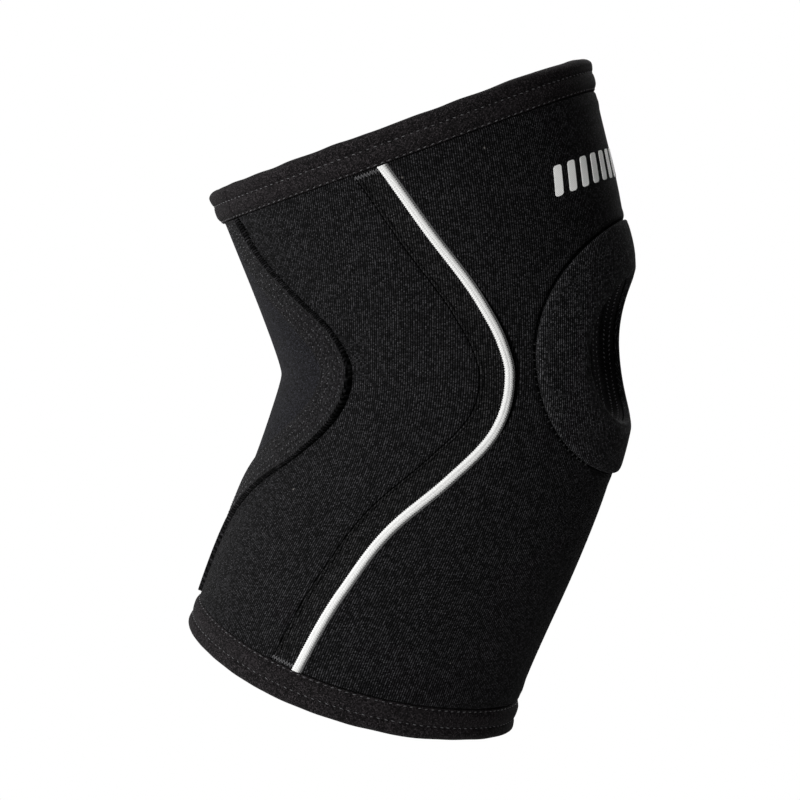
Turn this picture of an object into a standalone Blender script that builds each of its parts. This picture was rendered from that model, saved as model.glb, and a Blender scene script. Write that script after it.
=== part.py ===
"""Open-patella knee sleeve, worn shape, flexed a little: +X is the front, +Z is up the thigh.

The sleeve is one bent tube of sewn panels around the knee axis, which runs along Y through the
origin. Every piece is drawn on that tube: a place on it is a distance up the limb from the knee
line, an angle round it (0 at the front, 180 at the back, + on the left) and a height above it.
"""

import math

import bmesh
import bpy
import numpy as np

MM = 0.001

# The worn tube, outside the wall. Leans are degrees back from vertical, going away from the knee.
THIGH_HEM_CENTRE = (-21 * MM, 83 * MM)
THIGH_HEM_TILT = 20
THIGH_HEM_DEPTH = 145 * MM
THIGH_HEM_WIDTH = 130 * MM
KNEE_CENTRE = (-1.4 * MM, 0)
KNEE_TILT = 4
KNEE_DEPTH = 127.2 * MM
KNEE_WIDTH = 114 * MM
CALF_HEM_CENTRE = (-40 * MM, -116 * MM)
CALF_HEM_TILT = -18.5
CALF_HEM_DEPTH = 123 * MM
CALF_HEM_WIDTH = 112 * MM

FRONT_KNEE_LEAN = 2
FRONT_THIGH_LEAN = 12
FRONT_CALF_LEAN = 14
FRONT_THIGH_REACH = (58 * MM, 36 * MM)
FRONT_CALF_REACH = (55 * MM, 42 * MM)
BACK_KNEE_LEAN = 4
BACK_THIGH_LEAN = 22
BACK_CALF_LEAN = 20
BACK_THIGH_REACH = (5 * MM, 20 * MM)
BACK_CALF_REACH = (5 * MM, 29 * MM)

# Walls, and the clearance between any two pieces
GAP = 0.3 * MM
PANEL_WALL = 5 * MM
INSERT_WALL = 3 * MM
INSERT_SINK = 1 * MM
TAPE_PROUD = 1.2 * MM
TAPE_WALL = 5 * MM
TAPE_WIDTH = 13 * MM
HEM_WIDTH = 12 * MM
HEM_PROUD = 0.6 * MM
HEM_WALL = 6.2 * MM
HEM_ROUND = 1.2 * MM

# The side seams: (share of the way from the knee line to a hem seam, degrees from the front)
PIPING_LINE = (
    (-1.0, 99.1), (-0.71, 94.2), (-0.47, 86.2), (-0.32, 75), (-0.18, 64.9),
    (-0.03, 61.8), (0.11, 63.9), (0.28, 68.9), (0.59, 78.6), (1.0, 87.2),
)
TAPE_LINE = (
    (-1.0, 172.9), (-0.62, 160), (-0.45, 146.5), (-0.31, 131.3), (-0.16, 120),
    (0.02, 115.5), (0.22, 118.2), (0.48, 129.2), (0.74, 139), (1.0, 144.1),
)
STRIP_WIDTH = 10.3 * MM
PIPING_WIDTH = 3 * MM
PIPING_HEIGHT = 1.3 * MM
BARTACK_LENGTH = 1.6 * MM
BARTACK_HEIGHT = 0.6 * MM
BARTACK_INSET = 0.6 * MM

# The kneecap opening, the pad round it and the tape that lines it
OPENING_WIDTH = 63 * MM
OPENING_HEIGHT = 52 * MM
OPENING_RISE = 1 * MM
PAD_WIDTH = 108 * MM
PAD_HEIGHT = 91 * MM
PAD_RISE = 2 * MM
PAD_EDGE = 1.2 * MM
PAD_PROUD = 2.9 * MM
PAD_SHELL = 0.9 * MM
CORE_START = 0.1
CORE_END = 0.8
LINING_WALL = 1.2 * MM
LINING_FLANGE = 7 * MM

OPENING_MARGIN = LINING_WALL + GAP
PAD_SHOULDER = 0.7
TAPE_LEAST = 4 * MM
INSERT_TIP = 3 * MM

# The plain bar printed on the front of the thigh
PRINT_WIDTH = 81 * MM
PRINT_HEIGHT = 10.5 * MM
PRINT_FILM = 0.2 * MM
PRINT_BELOW_EDGE = 38.5 * MM

# How finely the tube and its seam lines are measured, and the step for their slopes
SAMPLES = 160
TURN_SAMPLES = 361
SEAM_LEVELS = 105
SEAM_OVERRUN = 1.04
TIP_SAMPLES = 201
STEP = 1e-4

# How finely the pieces are divided: rows along the limb, columns across the piece
ROW_CROWDING = 1.25
SIDE_PANEL_GRID = (12, 6)
SIDE_STRIP_GRID = (16, 3)
TAPE_GRID = (18, 4)
PIPING_GRID = (20, 3)
BARTACK_GRID = (3, 4)
FRONT_SIDE_ROWS = 15
FRONT_TOP_ROWS = 15
FRONT_COLUMNS = 9
HEM_COLUMNS = 72
PAD_COLUMNS = 48
PAD_SHARES = (0, 0.12, 0.3, 0.5, 0.68, 0.82, 0.92, 0.98, 1)
CORE_LOOPS = 5
INSERT_ROWS = 12
INSERT_COLUMNS = 12
PRINT_ROWS = 3
PRINT_MIDDLE_COLUMNS = 25
PRINT_END_COLUMNS = 5
SHARP_ANGLE = 35


def lean(degrees, way):
    """Unit direction in the XZ plane, up (way 1) or down (way -1), leaning back."""
    angle = math.radians(degrees)
    return np.array([-math.sin(angle), way * math.cos(angle)])


def ends(centre, tilt, depth):
    """Front and back points of a section of the tube, in the XZ plane."""
    angle = math.radians(tilt)
    half = np.array([math.cos(angle), math.sin(angle)]) * depth / 2
    return np.array(centre) + half, np.array(centre) - half


KNEE_FRONT, KNEE_BACK = ends(KNEE_CENTRE, KNEE_TILT, KNEE_DEPTH)


def profile(way, start, start_lean, reaches, end, end_lean):
    """Four control points of one side profile, from the knee line (front or back) to a hem edge."""
    first = start + way * lean(way * start_lean, 1) * reaches[0]
    last = end - lean(end_lean, way) * reaches[1]
    return np.array([start, first, last, end])


def half_profiles(way):
    if way > 0:
        front, back = ends(THIGH_HEM_CENTRE, THIGH_HEM_TILT, THIGH_HEM_DEPTH)
        return (
            profile(way, KNEE_FRONT, FRONT_KNEE_LEAN, FRONT_THIGH_REACH, front, FRONT_THIGH_LEAN),
            profile(way, KNEE_BACK, BACK_KNEE_LEAN, BACK_THIGH_REACH, back, BACK_THIGH_LEAN),
        )
    front, back = ends(CALF_HEM_CENTRE, CALF_HEM_TILT, CALF_HEM_DEPTH)
    return (
        profile(way, KNEE_FRONT, -FRONT_KNEE_LEAN, FRONT_CALF_REACH, front, FRONT_CALF_LEAN),
        profile(way, KNEE_BACK, -BACK_KNEE_LEAN, BACK_CALF_REACH, back, BACK_CALF_LEAN),
    )


PROFILES = {way: half_profiles(way) for way in (1, -1)}
HEM_PLANES = {1: (THIGH_HEM_CENTRE, THIGH_HEM_TILT), -1: (CALF_HEM_CENTRE, CALF_HEM_TILT)}


def bezier(points, t):
    t = np.asarray(t)[..., None]
    return (
        (1 - t) ** 3 * points[0] + 3 * (1 - t) ** 2 * t * points[1]
        + 3 * (1 - t) * t * t * points[2] + t ** 3 * points[3]
    )


def half_width(station):
    """Half the tube's width: a parabola through the two hems and the knee."""
    thigh, knee, calf = THIGH_HEM_WIDTH / 2, KNEE_WIDTH / 2, CALF_HEM_WIDTH / 2
    return knee + (thigh - calf) / 2 * station + ((thigh + calf) / 2 - knee) * station ** 2


def tube(way, t, theta):
    """Point of the tube: t runs from 0 at the knee line to 1 at the hem edge."""
    front, back = (bezier(points, t) for points in PROFILES[way])
    middle, half = (front + back) / 2, (front - back) / 2
    flat = middle + half * np.cos(theta)[..., None]
    return np.stack([flat[..., 0], half_width(way * t) * np.sin(theta), flat[..., 1]], -1)


def meridian(way, theta):
    """Stations t and the length of the tube's line at this angle up to each of them."""
    t = np.linspace(0, 1, SAMPLES)
    line = tube(way, t[None, :], np.asarray(theta)[:, None] + 0 * t[None, :])
    steps = np.linalg.norm(np.diff(line, axis=1), axis=-1)
    return t, np.concatenate([np.zeros((len(steps), 1)), np.cumsum(steps, axis=1)], axis=1)


def length(way, theta):
    """Length of the tube from the knee line to the hem edge, at each angle."""
    theta = np.asarray(theta, float)
    return meridian(way, theta.ravel())[1][:, -1].reshape(theta.shape)


def seam(way, theta):
    """Distance from the knee line to the hem seam, signed like way."""
    return way * (length(way, theta) - HEM_WIDTH)


def skin(distance, theta, height=0.0):
    """Points at a distance up the limb, an angle round it and a height above the tube."""
    distance, theta, height = np.broadcast_arrays(distance, theta, height)
    shape = distance.shape
    d, a, h = (np.asarray(v, float).ravel() for v in (distance, theta, height))
    points = np.empty((len(d), 3))
    for way in (1, -1):
        mine = (d >= 0) if way > 0 else (d < 0)
        if not mine.any():
            continue
        t, lengths = meridian(way, a[mine])
        at = np.array([np.interp(abs(x), row, t) for x, row in zip(d[mine], lengths)])
        here = tube(way, at, a[mine])
        above, below = np.minimum(at + STEP, 1), np.maximum(at - STEP, 0)
        up = tube(way, above, a[mine]) - tube(way, below, a[mine])
        across = tube(way, at, a[mine] + STEP) - tube(way, at, a[mine] - STEP)
        normal = np.cross(across, way * up)
        normal /= np.linalg.norm(normal, axis=1, keepdims=True)
        points[mine] = here + normal * h[mine, None]
    return points.reshape(shape + (3,))


def arc_at(theta, distance=0.0):
    """Length round the tube from the front to an angle, at one distance from the knee line."""
    fine = np.linspace(-math.pi, math.pi, TURN_SAMPLES)
    steps = np.linalg.norm(np.diff(skin(distance, fine), axis=0), axis=-1)
    arcs = np.concatenate([[0], np.cumsum(steps)])
    return np.interp(theta, fine, arcs - np.interp(0, fine, arcs))


def angle_at(arc, distance=0.0):
    """Angle that lies this length round the tube from the front."""
    fine = np.linspace(-math.pi, math.pi, TURN_SAMPLES)
    return np.interp(arc, arc_at(fine, distance), fine)


def smooth(points, x):
    """Smooth curve y(x) through points, with each point's slope taken from its neighbours."""
    xs, ys = (np.array(column, float) for column in zip(*points))
    slopes = np.gradient(ys, xs)
    i = np.clip(np.searchsorted(xs, x) - 1, 0, len(xs) - 2)
    span = xs[i + 1] - xs[i]
    u = (np.asarray(x) - xs[i]) / span
    return (
        (2 * u ** 3 - 3 * u ** 2 + 1) * ys[i] + (u ** 3 - 2 * u ** 2 + u) * span * slopes[i]
        + (3 * u ** 2 - 2 * u ** 3) * ys[i + 1] + (u ** 3 - u ** 2) * span * slopes[i + 1]
    )


def distance_of(level, theta):
    """Distance from the knee line of a share of the way to the hem seam."""
    level, theta = np.broadcast_arrays(np.asarray(level, float), np.asarray(theta, float))
    return np.where(level >= 0, level * seam(1, theta), -level * seam(-1, theta))


class Line:
    """A line that runs from hem seam to hem seam: its angle at each level, on the left side."""

    def __init__(self, levels, angles):
        order = np.argsort(levels)
        self.levels, self.angles = levels[order], angles[order]

    def angle(self, level):
        return np.interp(level, self.levels, self.angles)

    def beside(self, offset):
        """The line this far behind it on the tube (in front where offset is negative)."""
        levels, angles = self.levels, self.angles

        def at(level, angle):
            return skin(distance_of(level, angle), angle)

        higher, lower = levels + STEP, levels - STEP
        along = at(higher, self.angle(higher)) - at(lower, self.angle(lower))
        d_level = (at(higher, angles) - at(lower, angles)) / (2 * STEP)
        d_angle = (at(levels, angles + STEP) - at(levels, angles - STEP)) / (2 * STEP)
        normal = np.cross(d_angle, d_level)
        sideways = np.cross(along, normal)
        sideways *= offset / np.linalg.norm(sideways, axis=1, keepdims=True)
        moved_levels, moved_angles = [], []
        for i in range(len(levels)):
            basis = np.stack([d_level[i], d_angle[i]], axis=1)
            change = np.linalg.lstsq(basis, sideways[i], rcond=None)[0]
            moved_levels.append(levels[i] + change[0])
            moved_angles.append(angles[i] + change[1])
        return Line(np.array(moved_levels), np.array(moved_angles))


def seam_line(points):
    levels = np.linspace(-SEAM_OVERRUN, SEAM_OVERRUN, SEAM_LEVELS)
    return Line(levels, np.radians(smooth(points, levels)))


# Meshes

def new_object(name, mesh_builder, material):
    work = bmesh.new()
    mesh_builder(work)
    bmesh.ops.recalc_face_normals(work, faces=work.faces)
    mesh = bpy.data.meshes.new(name)
    work.to_mesh(mesh)
    work.free()
    mesh.shade_smooth()
    mesh.set_sharp_from_angle(angle=math.radians(SHARP_ANGLE))
    mesh.materials.append(material)
    obj = bpy.data.objects.new(name, mesh)
    bpy.context.scene.collection.objects.link(obj)
    return obj


def add_grid(work, points):
    """Vertices of a grid of points, as rows."""
    return [[work.verts.new(point) for point in row] for row in points]


def stitch(work, first, second, closed):
    """Quads between two rows of vertices."""
    count = len(first)
    for i in range(count if closed else count - 1):
        j = (i + 1) % count
        work.faces.new((first[i], first[j], second[j], second[i]))


def sheet_solid(name, outer, inner, material):
    """A solid between two grids of points of the same size."""

    def build(work):
        top, bottom = add_grid(work, outer), add_grid(work, inner)
        for rows in (top, bottom):
            for first, second in zip(rows, rows[1:]):
                stitch(work, first, second, False)
        stitch(work, top[0], bottom[0], False)
        stitch(work, top[-1], bottom[-1], False)
        stitch(work, [row[0] for row in top], [row[0] for row in bottom], False)
        stitch(work, [row[-1] for row in top], [row[-1] for row in bottom], False)

    return new_object(name, build, material)


def ring_solid(name, loops, material):
    """A closed ring: loops of points, each round the ring, in order round its section."""

    def build(work):
        rows = add_grid(work, loops)
        for i, row in enumerate(rows):
            stitch(work, row, rows[(i + 1) % len(rows)], True)

    return new_object(name, build, material)


# Pieces

def material(name, colour, roughness, metallic=0.0):
    made = bpy.data.materials.new(name)
    made.use_nodes = True
    shader = made.node_tree.nodes["Principled BSDF"]
    shader.inputs["Base Color"].default_value = (*colour, 1)
    shader.inputs["Roughness"].default_value = roughness
    shader.inputs["Metallic"].default_value = metallic
    return made


def panel(name, way, first, second, grid, top, bottom, finish):
    """A panel on one half of the sleeve, between two lines of angles, from knee line to hem seam."""
    rows, columns = grid
    share = np.linspace(0, 1, rows)[:, None] ** ROW_CROWDING
    start, stop = first(way * share), second(way * share)
    theta = start + (stop - start) * np.linspace(0, 1, columns)[None, :]
    distance = way * GAP / 2 + share * (seam(way, theta) - way * GAP)
    return sheet_solid(name, skin(distance, theta, top), skin(distance, theta, bottom), finish)


def oval(width, height, rise, phi):
    """Distance and angle of points round an oval at the front of the knee."""
    return rise + height / 2 * np.sin(phi), angle_at(width / 2 * np.cos(phi))


def opening_oval(grown, phi):
    return oval(OPENING_WIDTH + 2 * grown, OPENING_HEIGHT + 2 * grown, OPENING_RISE, phi)


def pad_oval(phi):
    return oval(PAD_WIDTH, PAD_HEIGHT, PAD_RISE, phi)


def front_panel(name, way, edge, finish):
    """Half of the front panel: an arch from one side seam over the hem seam to the other."""
    share = np.linspace(0, 1, FRONT_SIDE_ROWS) ** ROW_CROWDING
    side = way * share, edge(way * share)
    across = np.linspace(1, -1, FRONT_TOP_ROWS)[1:-1]
    levels = np.concatenate([side[0], way + 0 * across, side[0][::-1]])
    theta = np.concatenate([side[1], edge(way) * across, -side[1][::-1]])
    distance = distance_of(levels, theta) - way * GAP / 2 * (abs(levels) == 1)
    start = math.asin(-OPENING_RISE / (OPENING_HEIGHT / 2 + OPENING_MARGIN))
    turn = np.arctan2(abs(distance) / OPENING_HEIGHT, arc_at(theta) / OPENING_WIDTH) / math.pi
    phi = start + way * turn * (math.pi - 2 * way * start)
    hole = opening_oval(OPENING_MARGIN, phi)
    across = np.linspace(0, 1, FRONT_COLUMNS)[None, :] ** ROW_CROWDING
    distance = hole[0][:, None] + (distance - hole[0])[:, None] * across
    distance = way * np.maximum(way * distance, GAP / 2)
    theta = hole[1][:, None] + (theta - hole[1])[:, None] * across
    return sheet_solid(name, skin(distance, theta), skin(distance, theta, -PANEL_WALL), finish)


def hem(name, way, finish):
    """Folded binding round one end, flat on its edge."""
    theta = np.linspace(-math.pi, math.pi, HEM_COLUMNS, endpoint=False)
    start, stop = seam(way, theta) + way * GAP / 2, way * length(way, theta)
    inside = HEM_PROUD - HEM_WALL
    middle, shoulder = (start + stop) / 2, stop - way * HEM_ROUND
    section = [
        (start, HEM_PROUD), (middle, HEM_PROUD), (shoulder, HEM_PROUD),
        (stop, HEM_PROUD - HEM_ROUND), (stop, inside + HEM_ROUND),
        (shoulder, inside), (middle, inside), (start, inside),
    ]
    loops = [skin(distance, theta, height) for distance, height in section]
    centre, tilt = HEM_PLANES[way]
    centre = np.array([centre[0], 0, centre[1]])
    normal = np.array([-math.sin(math.radians(tilt)), 0, math.cos(math.radians(tilt))])
    for loop in loops[3:5]:
        loop -= ((loop - centre) @ normal)[:, None] * normal
    return ring_solid(name, loops, finish)


def pad_height(share):
    """Height of the pad's outside, from its opening (share 0) to its sewn edge (share 1)."""
    fall = np.clip((share - PAD_SHOULDER) / (1 - PAD_SHOULDER), 0, 1)
    return PAD_EDGE + (PAD_PROUD - PAD_EDGE) * np.sqrt(1 - fall ** 2)


def pad_ring(name, shares, top, bottom, finish):
    """A ring round the opening, between two heights that depend on the share of the way out."""
    phi = np.linspace(0, 2 * math.pi, PAD_COLUMNS, endpoint=False)
    near, far = opening_oval(OPENING_MARGIN, phi), pad_oval(phi)

    def loop(share, height):
        distance, theta = (a + (b - a) * share for a, b in zip(near, far))
        return skin(distance, theta, height)

    loops = [loop(share, top(share)) for share in shares]
    loops += [loop(share, bottom(share)) for share in shares[::-1]]
    return ring_solid(name, loops, finish)


def opening_lining(name, finish):
    """Tape that lines the opening and turns under its edge, inside the sleeve."""
    phi = np.linspace(0, 2 * math.pi, PAD_COLUMNS, endpoint=False)
    under = -PANEL_WALL - GAP
    section = [
        (0, PAD_PROUD), (LINING_WALL, PAD_PROUD), (LINING_WALL, under),
        (LINING_FLANGE, under), (LINING_FLANGE, under - LINING_WALL), (0, under - LINING_WALL),
    ]
    loops = [skin(*opening_oval(grown, phi), height) for grown, height in section]
    return ring_solid(name, loops, finish)


def bartack(name, way, first, second, finish):
    """A short bar of stitches across the side strip, next to the hem."""
    rows, columns = BARTACK_GRID
    inset = BARTACK_INSET + BARTACK_LENGTH * np.linspace(0, 1, rows)[:, None]
    level = way - inset / seam(way, first(way))
    start, stop = first(level), second(level)
    theta = start + (stop - start) * np.linspace(0, 1, columns)[None, :]
    distance = seam(way, theta) - way * inset
    top = skin(distance, theta, GAP + BARTACK_HEIGHT)
    return sheet_solid(name, top, skin(distance, theta, GAP), finish)


def printed_bar(name, finish):
    """A thin film in the shape of a bar with round ends, level with the thigh hem."""
    half, radius = PRINT_WIDTH / 2, PRINT_HEIGHT / 2
    turn = np.linspace(0, math.pi / 2, PRINT_END_COLUMNS + 1)[1:]
    end = half - radius + radius * np.sin(turn)
    middle = np.linspace(radius - half, half - radius, PRINT_MIDDLE_COLUMNS)
    arc = np.concatenate([-end[::-1], middle, end])
    over = np.maximum(abs(arc) - (half - radius), 0)
    tall = np.sqrt(np.maximum(radius ** 2 - over ** 2, (radius / 4) ** 2))
    level = length(1, 0) - PRINT_BELOW_EDGE
    theta = angle_at(arc, level)[:, None]
    drop = length(1, theta) - PRINT_BELOW_EDGE
    distance = drop + tall[:, None] * np.linspace(-1, 1, PRINT_ROWS)[None, :]
    theta = theta + 0 * distance
    top = skin(distance, theta, GAP + PRINT_FILM)
    return sheet_solid(name, top, skin(distance, theta, GAP), finish)


def insert_panel(name, way, edge, finish):
    """The thin knit panel behind the knee. On the calf it narrows to a point."""
    top, bottom = -INSERT_SINK, -INSERT_SINK - INSERT_WALL
    levels = np.linspace(0, 1, TIP_SAMPLES)
    wide = math.pi - edge(way * levels) > INSERT_TIP / KNEE_DEPTH
    end = levels[wide].max()
    share = np.linspace(0, 1, INSERT_ROWS)[:, None] ** ROW_CROWDING * end
    start = edge(way * share)
    theta = start + (2 * math.pi - 2 * start) * np.linspace(0, 1, INSERT_COLUMNS)[None, :]
    distance = way * GAP / 2 + share * (seam(way, theta) - way * GAP)
    return sheet_solid(name, skin(distance, theta, top), skin(distance, theta, bottom), finish)


def build():
    for old in list(bpy.data.objects):
        bpy.data.objects.remove(old)

    knit = material("neoprene_knit", (0.013, 0.013, 0.014), 0.85)
    strip_knit = material("strip_knit", (0.012, 0.012, 0.013), 0.8)
    insert_knit = material("insert_knit", (0.016, 0.016, 0.019), 0.75)
    tape_knit = material("seam_tape", (0.014, 0.014, 0.015), 0.8)
    binding = material("hem_binding", (0.015, 0.013, 0.014), 0.85)
    reflective = material("reflective_piping", (0.72, 0.72, 0.7), 0.45)
    foam = material("pad_foam", (0.05, 0.05, 0.055), 0.95)
    thread = material("thread", (0.03, 0.03, 0.032), 0.7)
    film = material("print_film", (0.78, 0.78, 0.75), 0.5)

    piping, tape = seam_line(PIPING_LINE), seam_line(TAPE_LINE)
    half_gap = GAP / 2
    front_edge = piping.beside(-half_gap).angle
    strip_lines = piping.beside(half_gap).angle, piping.beside(STRIP_WIDTH - half_gap).angle
    side_lines = piping.beside(STRIP_WIDTH + half_gap).angle, tape.beside(-half_gap).angle
    piping_lines = tuple(piping.beside(side * PIPING_WIDTH / 2).angle for side in (-1, 1))
    tack_lines = piping.beside(PIPING_WIDTH / 2 + GAP).angle, strip_lines[1]
    middle_back = math.pi - half_gap / (CALF_HEM_DEPTH / 2)
    tape_outer, tape_inner = tape.beside(half_gap), tape.beside(TAPE_WIDTH)
    insert_edge = tape.beside(TAPE_WIDTH + GAP)

    def tape_front(level):
        return np.minimum(tape_outer.angle(level), middle_back - TAPE_LEAST / KNEE_DEPTH)

    def tape_back(level):
        return np.minimum(tape_inner.angle(level), middle_back)

    tape_lines = tape_front, tape_back
    limbs = {}
    for way, limb in ((1, "thigh"), (-1, "calf")):
        pieces = [
            front_panel(f"front_panel_{limb}", way, front_edge, knit),
            insert_panel(f"popliteal_insert_{limb}", way, insert_edge.angle, insert_knit),
            hem(f"{limb}_hem", way, binding),
        ]
        for hand, side in ((1, "left"), (-1, "right")):

            def turned(line, hand=hand):
                return lambda level: hand * line(level)

            bands = {
                "side_panel": (side_lines, SIDE_PANEL_GRID, 0, -PANEL_WALL, knit),
                "side_strip": (strip_lines, SIDE_STRIP_GRID, 0, -PANEL_WALL, strip_knit),
                "popliteal_tape": (tape_lines, TAPE_GRID, TAPE_PROUD, TAPE_PROUD - TAPE_WALL, tape_knit),
                "reflective_piping": (piping_lines, PIPING_GRID, GAP + PIPING_HEIGHT, GAP, reflective),
            }
            for kind, (lines, *rest) in bands.items():
                first, second = (turned(line) for line in lines)
                pieces.append(panel(f"{kind}_{side}_{limb}", way, first, second, *rest))
            first, second = (turned(line) for line in tack_lines)
            pieces.append(bartack(f"bartack_{side}_{limb}", way, first, second, thread))
        limbs[limb] = pieces

    shares = np.array(PAD_SHARES)
    limbs["thigh"] += [
        pad_ring("patella_pad_cover", shares, pad_height, lambda r: pad_height(r) - PAD_SHELL, knit),
        pad_ring(
            "patella_pad_core", np.linspace(CORE_START, CORE_END, CORE_LOOPS),
            lambda r: pad_height(r) - PAD_SHELL - GAP, lambda r: GAP, foam,
        ),
        opening_lining("patella_opening_lining", tape_knit),
        printed_bar("thigh_print", film),
    ]
    for limb, pieces in limbs.items():
        pivot = bpy.data.objects.new(f"{limb}_pivot", None)
        bpy.context.scene.collection.objects.link(pivot)
        for piece in pieces:
            piece.parent = pivot


build()
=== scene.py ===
import math

import bmesh
import bpy
import numpy as np
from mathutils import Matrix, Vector


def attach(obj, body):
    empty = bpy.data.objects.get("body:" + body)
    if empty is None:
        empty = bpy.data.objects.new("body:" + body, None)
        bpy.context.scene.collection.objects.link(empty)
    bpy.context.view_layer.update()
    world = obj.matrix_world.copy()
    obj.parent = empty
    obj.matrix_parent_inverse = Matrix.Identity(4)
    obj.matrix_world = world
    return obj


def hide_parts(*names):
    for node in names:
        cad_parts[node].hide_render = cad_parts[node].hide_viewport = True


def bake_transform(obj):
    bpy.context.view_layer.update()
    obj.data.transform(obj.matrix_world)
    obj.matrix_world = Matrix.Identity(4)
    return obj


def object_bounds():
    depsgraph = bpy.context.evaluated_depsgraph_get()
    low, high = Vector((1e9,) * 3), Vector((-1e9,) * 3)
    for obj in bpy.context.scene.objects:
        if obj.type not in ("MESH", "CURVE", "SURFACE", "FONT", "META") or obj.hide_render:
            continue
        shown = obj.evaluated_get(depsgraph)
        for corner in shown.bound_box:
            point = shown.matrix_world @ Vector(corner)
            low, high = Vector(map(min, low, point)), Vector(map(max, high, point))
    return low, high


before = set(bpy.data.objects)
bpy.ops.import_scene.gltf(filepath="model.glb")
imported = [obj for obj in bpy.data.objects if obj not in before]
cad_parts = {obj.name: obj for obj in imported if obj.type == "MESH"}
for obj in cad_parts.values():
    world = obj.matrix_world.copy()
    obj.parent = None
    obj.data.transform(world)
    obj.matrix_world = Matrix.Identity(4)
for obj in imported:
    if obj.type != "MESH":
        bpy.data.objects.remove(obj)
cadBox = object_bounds()
bpy.ops.object.select_all(action="DESELECT")
print("frame loaded:", len(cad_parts), "nodes")

mm = 0.001
pi = math.pi

# the worn tube: +X is the front, +Z runs up the thigh, and the knee turns about Y
# a section is (centre in the side view, tilt in degrees, depth, width), outside the wall
sleeve = {
    "thighEnd": ((-21 * mm, 83 * mm), 20, 145 * mm, 130 * mm),
    "kneeLine": ((-1.4 * mm, 0), 4, 127.2 * mm, 114 * mm),
    "calfEnd": ((-40 * mm, -116 * mm), -18.5, 123 * mm, 112 * mm),
    # by half, at the knee line and at the hem: degrees from upright, and how far each end holds its way
    "frontLeans": {1: (2, 12), -1: (-2, 14)},
    "backLeans": {1: (4, 22), -1: (-4, 20)},
    "frontReach": {1: (58 * mm, 36 * mm), -1: (55 * mm, 42 * mm)},
    "backReach": {1: (5 * mm, 20 * mm), -1: (5 * mm, 29 * mm)},
    "gap": 0.3 * mm,  # between neighbouring pieces
    "seamReach": 90 * mm,  # about how far a hem's seam is from the knee line
    "wall": 5 * mm,
    "rippleSize": 24 * mm,  # the slow unevenness of cloth over a limb
    "rippleHeight": 0.16 * mm,
    "fullness": (46 * mm, 26 * mm, 1.3 * mm),  # where, over what length, and how high
    "bendTilt": 12.5,  # the tilt in degrees of the bend's middle plane
    "bendReach": 60 * mm,
}
seams = {  # (share of the way from the knee line to a hem seam, degrees round from the front)
    "piping": (
        (-1.0, 99.1), (-0.71, 94.2), (-0.47, 86.2), (-0.32, 75), (-0.18, 64.9),
        (-0.03, 61.8), (0.11, 63.9), (0.28, 68.9), (0.59, 78.6), (1.0, 87.2),
    ),
    "tape": (
        (-1.0, 172.9), (-0.62, 160), (-0.45, 146.5), (-0.31, 131.3), (-0.16, 120),
        (0.02, 115.5), (0.22, 118.2), (0.48, 129.2), (0.74, 139), (1.0, 144.1),
    ),
}


def leanWay(degrees, way):
    angle = math.radians(degrees)
    return np.array([-math.sin(angle), way * math.cos(angle)])


def sectionEnds(section):
    centre, tilt, depth = section[:3]
    half = np.array([math.cos(math.radians(tilt)), math.sin(math.radians(tilt))]) * depth / 2
    return np.array(centre) + half, np.array(centre) - half


def sideCurve(way, start, leans, reaches, end):
    first = start + way * leanWay(way * leans[0], 1) * reaches[0]
    last = end - leanWay(leans[1], way) * reaches[1]
    return np.array([start, first, last, end])


def sideCurves(way):
    starts = sectionEnds(sleeve["kneeLine"])
    stops = sectionEnds(sleeve["thighEnd" if way > 0 else "calfEnd"])
    return (
        sideCurve(way, starts[0], sleeve["frontLeans"][way], sleeve["frontReach"][way], stops[0]),
        sideCurve(way, starts[1], sleeve["backLeans"][way], sleeve["backReach"][way], stops[1]),
    )


curves = {way: sideCurves(way) for way in (1, -1)}
clothEnd = 1 - sleeve["gap"] / 2 / sleeve["seamReach"]  # the level at which the panels stop


def alongCurve(points, t):
    t = np.asarray(t)[..., None]
    return (
        (1 - t) ** 3 * points[0] + 3 * (1 - t) ** 2 * t * points[1]
        + 3 * (1 - t) * t * t * points[2] + t ** 3 * points[3]
    )


def halfWidth(station):
    thigh, knee, calf = (sleeve[key][3] / 2 for key in ("thighEnd", "kneeLine", "calfEnd"))
    return knee + (thigh - calf) / 2 * station + ((thigh + calf) / 2 - knee) * station ** 2


def tube(way, t, theta):
    front, back = (alongCurve(points, t) for points in curves[way])
    flat = (front + back) / 2 + (front - back) / 2 * np.cos(theta)[..., None]
    return np.stack([flat[..., 0], halfWidth(way * t) * np.sin(theta), flat[..., 1]], -1)


turnSteps = 720
turns = np.linspace(-pi, pi, turnSteps + 1)
shareSteps = 208
shareLimit = 1.04


def stationTable(way):
    # the length of each line along the limb, and the curve's t at even shares of it
    t = np.linspace(0, 1.06, 213)
    line = tube(way, t[None, :] + 0 * turns[:, None], turns[:, None] + 0 * t[None, :])
    steps = np.linalg.norm(np.diff(line, axis=1), axis=-1)
    along = np.concatenate([np.zeros((len(turns), 1)), np.cumsum(steps, axis=1)], axis=1)
    whole = np.array([np.interp(1, t, row) for row in along])
    shares = np.linspace(0, shareLimit, shareSteps + 1)
    return whole, np.array([np.interp(shares * full, row, t) for full, row in zip(whole, along)])


stations = {way: stationTable(way) for way in (1, -1)}


def lengthAlong(points):
    return np.concatenate([[0], np.cumsum(np.linalg.norm(np.diff(points, axis=0), axis=-1))])


def lookUp(table, row, column):
    # straight-line reading between the four nearest entries
    r0 = np.clip(np.floor(row).astype(int), 0, table.shape[0] - 2)
    c0 = np.clip(np.floor(column).astype(int), 0, table.shape[1] - 2)
    r, c = row - r0, column - c0
    return (
        table[r0, c0] * (1 - r) * (1 - c) + table[r0 + 1, c0] * r * (1 - c)
        + table[r0, c0 + 1] * (1 - r) * c + table[r0 + 1, c0 + 1] * r * c
    )


def turnRow(theta):
    return (np.asarray(theta, float) / (2 * pi) + 0.5) % 1 * turnSteps


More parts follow.
